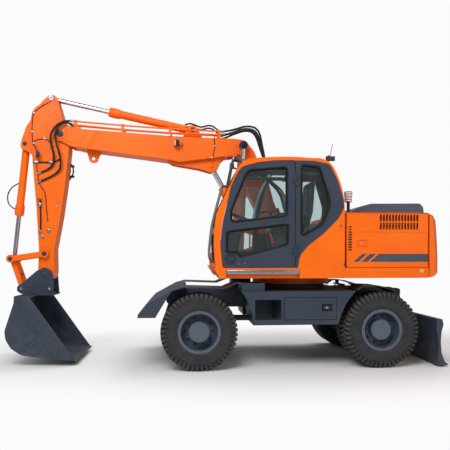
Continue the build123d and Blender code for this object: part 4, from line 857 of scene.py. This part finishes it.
# air pre-cleaner: clear bowl with its bands
form = turned(bmesh.new(), (0.688, -0.9, 2.346), (0, 0, 1),
              ((0, 0.05), (0.004, 0.0535), (0.08, 0.0535), (0.09, 0.06), (0.128, 0.06), (0.134, 0.058)), 32)
made("cleaner_bowl", form, milky_bowl, "upper_structure")
form = bmesh.new()
for z, radius in ((2.372, 0.0545), (2.408, 0.0545), (2.45, 0.061)):
    turned(form, (0.688, -0.9, z), (0, 0, 1),
           ((0, radius - 0.003), (0.001, radius), (0.011, radius), (0.012, radius - 0.003)), 32)
made("cleaner_bands", form, red_grip, "upper_structure")

# ---------------------------------------------------------------- boom and arm
# cab-side faces of boom and arm, and how far beads stand from the middle plane on each of them
BOOM_NEAR = -0.12
ARM_NEAR = -0.07
BOOM_BEAD = 0.193
ARM_BEAD = 0.1425
# clips end this far before the face, on the paint
CLIP_GAP = 0.0005
HEAD = ((-0.002, 1.0), (0.006, 1.0), (0.009, 0.9), (0.009, 0.42), (0.016, 0.4), (0.018, 0.32))
for name, body, (x, z), half, radius, material in (
        ("arm_eye_heads", "arm", (-3.66, 3.955), 0.092, 0.038, zinc),
        ("guide_pivot_heads", "arm", (-3.74, 1.6), 0.232, 0.034, slate),
        ("link_pin_heads", "guide_links", (-4.229, 1.524), 0.232, 0.03, slate),
        ("bucket_pivot_heads", "arm", (-3.744, 1.28), 0.195, 0.035, slate),
        ("push_pin_heads", "bucket", (-4.079, 1.075), 0.194, 0.044, slate),
        ("hook_heads_front", "bucket", (-3.668, 1.066), 0.214, 0.042, slate),
        ("arm_pivot_heads", "upper_boom", (-3.51, 3.395), 0.212, 0.05, slate),
        ("bucket_cylinder_heads", "arm", (-4.043, 3.25), 0.115, 0.032, slate),
        ("arm_cylinder_heads", "upper_boom", (-1.535, 3.52), 0.1, 0.034, slate)):
    form = bmesh.new()
    for sign in (-1, 1):
        turned(form, (x, MID + sign * half, z), (0, sign, 0), [(d, r * radius) for d, r in HEAD])
    made(name, form, material, body)
form = bmesh.new()
for (x, z), half in (((-4.079, 1.075), 0.194), ((-3.668, 1.066), 0.214)):
    for sign in (-1, 1):
        turned(form, (x, MID + sign * (half + 0.009), z), (0, sign, 0),
               ((0, 0.0195), (0.012, 0.0195), (0.014, 0.016)), 16)
made("coupler_pin_ends", form, zinc, "bucket")
# cylinders: gland collars on the barrels, painted eyes on the rods. Each row says the pivots at base and
# tip, where across, radii of barrel and rod, length of the barrel, radius, width and paint of the eye.
CYLINDERS = (
    ("arm_cylinder", "arm_barrel", "arm_rod", (-1.535, 3.52), (-3.66, 3.955), (MID,),
     0.062, 0.035, 1.3, 0.061, 0.09, orange),
    ("bucket_cylinder", "bucket_barrel", "bucket_rod", (-4.043, 3.25), (-4.229, 1.524), (MID,),
     0.055, 0.032, 1.08, 0.056, 0.09, orange),
    ("lift_cylinders", "lift_barrels", "lift_rods", (-0.83, 1.56), (-0.764, 3.255), (-0.22, 0.38),
     0.065, 0.038, 1.06, 0.066, 0.07, charcoal),
    ("positioning_cylinder", "positioning_barrel", "positioning_rod", (-0.7, 2.0), (-1.25, 2.965), (MID,),
     0.066, 0.04, 0.74, 0.061, 0.11, charcoal))
for name, barrel, rod, base, tip, rows, radius, shaft, reach, eye, width, material in CYLINDERS:
    way = Vector((tip[0] - base[0], 0.0, tip[1] - base[1])).normalized()
    form = bmesh.new()
    for y in rows:
        mouth = Vector((base[0], y, base[1])) + way * reach
        turned(form, mouth - way * 0.175, way,
               ((0, radius + 0.0005), (0.004, radius + 0.006), (0.04, radius + 0.014),
                (0.135, radius + 0.014), (0.142, radius + 0.009), (0.166, radius + 0.009),
                (0.172, radius + 0.004), (0.178, radius - 0.012), (0.181, shaft + 0.01),
                (0.182, shaft + 0.002)), 32)
    made(f"{name}_collars", form, orange, barrel)
    form = bmesh.new()
    for y in rows:
        turned(form, (tip[0], y - width / 2 - 0.002, tip[1]), (0, 1, 0),
               ((0, eye * 0.5), (0.001, eye - 0.006), (0.006, eye + 0.002), (width - 0.002, eye + 0.002),
                (width + 0.003, eye - 0.006), (width + 0.004, eye * 0.5)), 32)
    made(f"{name}_eyes", form, material, rod)
    if material is charcoal:
        form = bmesh.new()
        for y in rows:
            for sign in (-1, 1):
                turned(form, (tip[0], y + sign * (width / 2 + 0.002), tip[1]), (0, sign, 0),
                       ((-0.001, 0.04), (0.007, 0.04), (0.011, 0.034), (0.011, 0.012), (0.017, 0.01)))
        made(f"{name}_pin_caps", form, charcoal, rod)

# weld beads and the edges of the doubler plates
for side, sign in SIDES:
    lines(f"boom_beads_{side}",
          across(MID + sign * BOOM_BEAD,
                 [(-3.545, 3.3), (-3.381, 3.284), (-3.24, 3.25), (-3.195, 3.268), (-3.165, 3.33),
                  (-3.133, 3.398), (-3.128, 3.45)],
                 [(-2.93, 3.445), (-3.01, 3.32), (-3.084, 3.185)],
                 [(-2.964, 3.445), (-3.045, 3.32), (-3.118, 3.185)],
                 [(-3.236, 3.2), (-2.93, 3.163), (-1.965, 3.052), (-1.739, 3.012), (-1.263, 3.074),
                  (-0.818, 3.145)],
                 [(-3.48, 3.447), (-3.422, 3.44), (-3.415, 3.38), (-3.422, 3.323), (-3.5, 3.335)]),
          0.012, orange, "upper_boom")
    lines(f"arm_beads_{side}",
          across(MID + sign * ARM_BEAD,
                 [(-3.94, 3.56), (-3.935, 3.68), (-3.89, 3.77), (-3.842, 3.815), (-3.76, 3.842),
                  (-3.68, 3.822), (-3.596, 3.764), (-3.535, 3.647), (-3.51, 3.56)],
                 [(-3.905, 3.263), (-3.843, 3.32), (-3.751, 3.333), (-3.669, 3.298), (-3.628, 3.2),
                  (-3.618, 3.101), (-3.649, 3.011)],
                 [(-3.89, 3.24), (-3.77, 3.126), (-3.649, 3.011)],
                 [(-3.905, 2.938), (-3.865, 2.905), (-3.7, 2.905), (-3.55, 2.914), (-3.48, 2.944)],
                 [(-3.88, 2.7), (-3.8, 2.64), (-3.65, 2.625), (-3.52, 2.68)]),
          0.01, orange, "arm")

# grease lines and rigid tubes of the arm, with their clips and couplings
lines("arm_grease_lines",
      across(ARM_NEAR - 0.006,
             [(-3.65, 3.885), (-3.683, 3.862), (-3.745, 3.836), (-3.842, 3.767), (-3.905, 3.702),
              (-3.923, 3.608), (-3.93, 3.435), (-3.925, 3.341), (-3.915, 3.243)],
             [(-3.915, 3.243), (-3.895, 3.285), (-3.843, 3.312), (-3.751, 3.322), (-3.69, 3.3),
              (-3.655, 3.25)],
             [(-3.856, 2.952), (-3.868, 2.879), (-3.849, 2.82), (-3.839, 2.722), (-3.824, 2.64),
              (-3.765, 2.56), (-3.73, 2.48), (-3.722, 2.25), (-3.7, 2.08)]),
      0.006, hose_rubber, "arm")
lines("arm_rigid_tubes",
      across(ARM_NEAR - 0.012,
             [(-3.89, 2.967), (-3.78, 2.968), (-3.64, 2.97), (-3.56, 2.985), (-3.525, 3.024)],
             [(-3.804, 2.384), (-3.806, 2.15), (-3.803, 1.96)]),
      0.011, charcoal, "arm")
form = bmesh.new()
for x, z in ((-3.905, 3.702), (-3.93, 3.42), (-3.751, 3.322), (-3.908, 3.25)):
    cuboid(form, (x - 0.02, ARM_NEAR - 0.014, z - 0.011), (x + 0.02, ARM_NEAR - CLIP_GAP, z + 0.011))
for x, z in ((-3.868, 2.968), (-3.642, 2.97)):
    cuboid(form, (x - 0.048, ARM_NEAR - 0.026, z - 0.016), (x + 0.034, ARM_NEAR - CLIP_GAP, z + 0.016))
for x, z in ((-3.555, 2.38), (-3.563, 2.3), (-3.59, 2.03)):
    cuboid(form, (x - 0.01, ARM_NEAR - 0.008, z - 0.012), (x + 0.01, ARM_NEAR - CLIP_GAP, z + 0.012))
made("arm_clips", form, zinc, "arm", 0.003)
form = bmesh.new()
turned(form, (-3.815, ARM_NEAR - 0.034, 2.395), (0, 0, 1),
       ((0, 0.016), (0.006, 0.028), (0.03, 0.028), (0.034, 0.024)), 8)
turned(form, (-3.815, ARM_NEAR + 0.002, 2.335), (0, -1, 0), ((0, 0.03), (0.04, 0.03), (0.046, 0.022)), 20)
for x, z in ((-3.815, 1.925), (-3.78, 1.85), (-3.69, 1.945)):
    turned(form, (x, ARM_NEAR + 0.001, z), (0, -1, 0),
           ((0, 0.026), (0.02, 0.026), (0.022, 0.016), (0.04, 0.015)), 8)
made("arm_couplings", form, zinc, "arm")
lines("boom_grease_line",
      across(BOOM_NEAR - 0.006, [(-1.195, 3.4), (-1.21, 3.352), (-1.192, 3.249), (-1.215, 3.145),
                                 (-1.236, 3.06)]),
      0.006, hose_rubber, "upper_boom")
form = bmesh.new()
for x, z in ((-1.192, 3.249), (-1.236, 3.07), (-1.88, 3.395)):
    cuboid(form, (x - 0.014, BOOM_NEAR - 0.014, z - 0.014), (x + 0.014, BOOM_NEAR - CLIP_GAP, z + 0.014))
for x, z in ((-3.505, 3.425), (-3.455, 3.432)):
    turned(form, (x, BOOM_NEAR + 0.001, z), (0, -1, 0), ((0, 0.012), (0.008, 0.012), (0.01, 0.008)), 6)
made("boom_clips", form, zinc, "upper_boom", 0.002)


def work_lamp(name, place, body, turn_z=0.0, size=0.052):
    """Square work lamp: black housing with a smaller block behind, on a foot, with a clear lens towards the
    front.
    """
    base = Matrix.Translation(place) @ Matrix.Rotation(turn_z, 4, "Z")
    form = bmesh.new()
    cuboid(form, (-size * 0.55, -size, -size), (size * 0.45, size, size))
    cuboid(form, (size * 0.4, -size * 0.7, -size * 0.7), (size * 0.8, size * 0.7, size * 0.7))
    cuboid(form, (-size * 0.12, size * 0.6, -size * 0.35), (size * 0.12, size * 1.9, size * 0.1))
    bmesh.ops.transform(form, matrix=base, verts=form.verts)
    made(f"{name}_housing", form, black_plastic, body, 0.006)
    form = bmesh.new()
    cuboid(form, (-size * 0.66, -size * 0.86, -size * 0.86), (-size * 0.5, size * 0.86, size * 0.86))
    bmesh.ops.transform(form, matrix=base, verts=form.verts)
    made(f"{name}_lens", form, clear_lens, body, 0.005)


work_lamp("boom_lamp", (-1.78, BOOM_NEAR - 0.075, 3.275), "upper_boom", 0.35, 0.046)
work_lamp("arm_lamp", (-3.838, ARM_NEAR - 0.075, 3.078), "arm", 0.25, 0.044)
lines("boom_lamp_lead", [[(-1.745, BOOM_NEAR - 0.07, 3.25), (-1.705, BOOM_NEAR - 0.05, 3.215),
                          (-1.68, BOOM_NEAR - 0.03, 3.25), (-1.7, BOOM_NEAR - 0.008, 3.29)]], 0.006,
      hose_rubber, "upper_boom")
lines("arm_lamp_lead", [[(-3.845, ARM_NEAR - 0.07, 3.11), (-3.855, ARM_NEAR - 0.04, 3.15),
                         (-3.88, ARM_NEAR - 0.012, 3.19), (-3.912, ARM_NEAR - 0.006, 3.235)]], 0.007,
      hose_rubber, "arm")
lines("bucket_cylinder_hose",
      across(MID, [(-4.15, 2.672), (-4.215, 2.64), (-4.27, 2.597), (-4.318, 2.52), (-4.329, 2.44),
                   (-4.318, 2.37), (-4.28, 2.31), (-4.195, 2.262)]),
      0.009, hose_rubber, "bucket_barrel")
lines("arm_far_hoses", [[(-3.452, 0.246, 3.02), (-3.432, 0.25, 2.96), (-3.43, 0.25, 2.88),
                         (-3.448, 0.246, 2.8), (-3.48, 0.24, 2.73)],
                        [(-3.44, 0.246, 3.03), (-3.398, 0.252, 2.97), (-3.38, 0.254, 2.89),
                         (-3.4, 0.252, 2.81), (-3.455, 0.24, 2.73)]], 0.012, hose_rubber, "arm")
over_the_boom = [(-1.651, 3.59), (-1.6, 3.612), (-1.531, 3.606), (-1.45, 3.57), (-1.399, 3.558),
                 (-1.34, 3.575), (-1.29, 3.59), (-1.23, 3.582), (-1.182, 3.553), (-1.125, 3.5)]
lines("arm_cylinder_hoses", across(-0.02, over_the_boom) + across(0.18, over_the_boom), 0.013, hose_rubber,
      "upper_boom")
form = bmesh.new()
for z in (2.96, 2.8):
    cuboid(form, (-3.47, 0.226, z - 0.016), (-3.37, 0.275, z + 0.016))
made("arm_far_clamps", form, charcoal, "arm", 0.004)

# toolbox door: a near-black cup, painted shade in the latch recess, with its turn handle; lamp lenses on the
# roof
low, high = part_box("toolbox_door")
form = prism(bmesh.new(), rounded([(236, 801, 8), (377, 801, 8), (377, 893, 8), (236, 893, 8)]),
             low.y + 0.0145, low.y + 0.0125)
made("toolbox_latch_recess_shade", form, seal_rubber_and_shade, "toolbox_door")
form = turned(bmesh.new(), (0.306, low.y + 0.005, 0.847), (0, -1, 0),
              ((0, 0.016), (0.004, 0.016), (0.006, 0.012), (0.006, 0.006), (0.009, 0.005)), 20)
made("toolbox_lock", form, zinc, "toolbox_door")
form = bmesh.new()
for y in (-1.09, -0.41):
    turned(form, (-0.9855, y, 2.905), (-1, 0, 0),
           ((-0.004, 0.038), (0.002, 0.038), (0.008, 0.03), (0.011, 0.014)), 24)
made("roof_lamp_lenses", form, clear_lens, "upper_structure")

# ---------------------------------------------------------------- bucket's edges
BUCKET_HALF = 0.7
form = bmesh.new()
for side, sign in SIDES:
    skin = MID + sign * BUCKET_HALF
    prism(form, [(-3.208, 0.072), (-3.85, 0.999), (-3.96, 0.999), (-4.03, 0.95), (-3.8, 0.5),
                 (-3.5, 0.1)], skin - sign * 0.016, skin + sign * 0.008)
made("bucket_side_cutters", form, slate, "bucket", 0.003)
form = prism(bmesh.new(), [(-3.183, 0.064), (-3.33, 0.086), (-3.33, 0.101), (-3.19, 0.08)],
             MID - BUCKET_HALF - 0.003, MID + BUCKET_HALF + 0.003)
made("bucket_edge", form, wear_steel, "bucket", 0.002)
for side, sign in SIDES:
    lines(f"bucket_beads_{side}",
          across(MID + sign * (BUCKET_HALF + 0.001),
                 [(-4.06, 0.42), (-3.98, 0.33), (-3.88, 0.31), (-3.79, 0.35), (-3.75, 0.4)]),
          0.004, slate, "bucket")

# ---------------------------------------------------------------- seat
SEAT_MID = -0.75
SEAT_VOXEL = 0.011
SEAT_PRESSURE = 4.0
SEAT_SWELL = 0.012
SEAT_FRAMES = 12


def pad(name, outline, half):
    """A stuffed pad: a rounded block blown up as cloth by its filling, never past its cap, then smoothed."""
    form = bmesh.new()
    prism(form, rounded(outline, 10.0, 4), SEAT_MID - half, SEAT_MID + half)
    start = piece(name, face_out(form), cloth)
    bevel = start.modifiers.new("soft_edges", "BEVEL")
    bevel.width = 0.022
    bevel.segments = 3
    bevel.limit_method = "ANGLE"
    remesh = start.modifiers.new("even_skin", "REMESH")
    remesh.mode = "VOXEL"
    remesh.voxel_size = SEAT_VOXEL
    start = settle(start)
    rest = [v.co.copy() for v in start.data.vertices]
    stuffing = start.modifiers.new("stuffing", "CLOTH")
    stuffing.settings.use_pressure = True
    stuffing.settings.uniform_pressure_force = SEAT_PRESSURE
    stuffing.settings.effector_weights.gravity = 0.0
    stuffing.settings.quality = 4
    scene = bpy.context.scene
    for moment in range(1, SEAT_FRAMES + 1):
        scene.frame_set(moment)
    blown = start.evaluated_get(bpy.context.evaluated_depsgraph_get())
    moved = [v.co.copy() for v in blown.data.vertices]
    start.modifiers.clear()
    scene.frame_set(1)
    for vertex, before, after in zip(start.data.vertices, rest, moved):
        shift = after - before
        vertex.co = before + shift * min(1.0, SEAT_SWELL / max(shift.length, 1e-9))
    finer = start.modifiers.new("smooth_skin", "SUBSURF")
    finer.levels = finer.render_levels = 1
    start = settle(start)
    start.data.polygons.foreach_set("use_smooth", [True] * len(start.data.polygons))
    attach(start, "upper_structure")
    return start


cushion = pad("seat_cushion", [(-480, 1900, 30), (-480, 1990, 40), (-420, 2030, 60), (60, 1990, 40),
                               (60, 1900, 30)], 0.222)
pad("seat_backrest", [(-10, 1990, 30), (50, 2200, 300), (100, 2640, 60), (200, 2650, 60), (170, 2200, 300),
                      (100, 1935, 30)], 0.204)
form = bmesh.new()
cuboid(form, (-0.38, SEAT_MID - 0.16, 1.446), (0.0, SEAT_MID + 0.16, 1.9))
for y in (SEAT_MID - 0.3, SEAT_MID + 0.245):
    prism(form, rounded([(-380, 2110, 25), (-380, 2170, 25), (60, 2190, 25), (60, 2120, 20)]),
          y, y + 0.055)
cuboid(form, (0.01, SEAT_MID - 0.27, 2.125), (0.05, SEAT_MID + 0.27, 2.16))
made("seat_frame", form, black_plastic, "upper_structure", 0.008)
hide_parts("seat")

# ---------------------------------------------------------------- camera and studio
camera_data = bpy.data.cameras.new("camera")
camera = bpy.data.objects.new("camera", camera_data)
bpy.context.collection.objects.link(camera)
camera.location = (-1.649, -9.358, 1.576)
camera.rotation_euler = (math.radians(90 - 0.34), 0.0, math.radians(-6.09))
camera_data.sensor_width = 36.0
camera_data.lens = 48.0
camera_data.shift_x = -0.054
camera_data.shift_y = 0.075
bpy.context.scene.camera = camera

world = bpy.data.worlds.new("studio")
bpy.context.scene.world = world
world.use_nodes = True
sky = world.node_tree
sky.nodes.clear()
rays = add(sky, "ShaderNodeLightPath")
dim = add(sky, "ShaderNodeBackground", Color=(1.0, 1.0, 1.0, 1.0), Strength=0.45)
pale = add(sky, "ShaderNodeBackground", Color=linear("#fbfbfc"), Strength=1.0)
seen = add(sky, "ShaderNodeMath", {"operation": "MAXIMUM"}, _0=rays.outputs["Is Camera Ray"],
           _1=rays.outputs["Is Transmission Ray"])
mirrored = add(sky, "ShaderNodeBackground", Color=(1.0, 1.0, 1.0, 1.0), Strength=0.25)
lit = add(sky, "ShaderNodeMixShader", Fac=rays.outputs["Is Glossy Ray"], _1=dim.outputs[0],
          _2=mirrored.outputs[0])
pick = add(sky, "ShaderNodeMixShader", Fac=seen.outputs[0], _1=lit.outputs[0], _2=pale.outputs[0])
add(sky, "ShaderNodeOutputWorld", Surface=pick.outputs[0])

for name, place, size, power in (("key", (-4.0, -8.5, 8.0), 5.0, 740.0),
                                 ("fill", (6.0, -8.0, 4.5), 6.0, 130.0),
                                 ("top", (1.0, 3.0, 9.0), 6.0, 330.0)):
    lamp = bpy.data.lights.new(name, "AREA")
    lamp.energy = power
    lamp.size = size
    holder = bpy.data.objects.new(name, lamp)
    holder.location = place
    holder.rotation_euler = (Vector((-0.9, 0.0, 1.4)) - Vector(place)).to_track_quat("-Z", "Y").to_euler()
    bpy.context.collection.objects.link(holder)
bpy.context.scene.view_settings.view_transform = "Standard"

floor_mesh = bpy.data.meshes.new("floor")
reach = 60.0
floor_mesh.from_pydata([(-reach, -reach, 0), (reach, -reach, 0), (reach, reach, 0), (-reach, reach, 0)], [],
                       [(0, 1, 2, 3)])
floor = bpy.data.objects.new("floor", floor_mesh)
bpy.context.collection.objects.link(floor)
# matt studio paper that fades into the pale backdrop away from the machine, so no horizon shows
paper, tree, place = new_material("matt_studio_paper")
sheet = add(tree, "ShaderNodeBsdfPrincipled", Base_Color=linear("#f0f0f0"), Roughness=0.9)
glow = add(tree, "ShaderNodeEmission", Color=linear("#fbfbfc"), Strength=1.0)
flat = add(tree, "ShaderNodeVectorMath", {"operation": "MULTIPLY"}, _0=place, _1=(0.55, 1.0, 1.0)).outputs[0]
away = add(tree, "ShaderNodeVectorMath", {"operation": "LENGTH"}, _0=flat).outputs["Value"]
fade = add(tree, "ShaderNodeMapRange", {"interpolation_type": "SMOOTHSTEP"}, _0=away, _1=1.8, _2=4.2, _3=0.0,
           _4=1.0)
rays = add(tree, "ShaderNodeLightPath")
only_seen = add(tree, "ShaderNodeMath", {"operation": "MULTIPLY"}, _0=fade.outputs[0],
                _1=rays.outputs["Is Camera Ray"])
both = add(tree, "ShaderNodeMixShader", Fac=only_seen.outputs[0], _1=sheet.outputs[0], _2=glow.outputs[0])
add(tree, "ShaderNodeOutputMaterial", Surface=both.outputs[0])
floor_mesh.materials.append(paper)
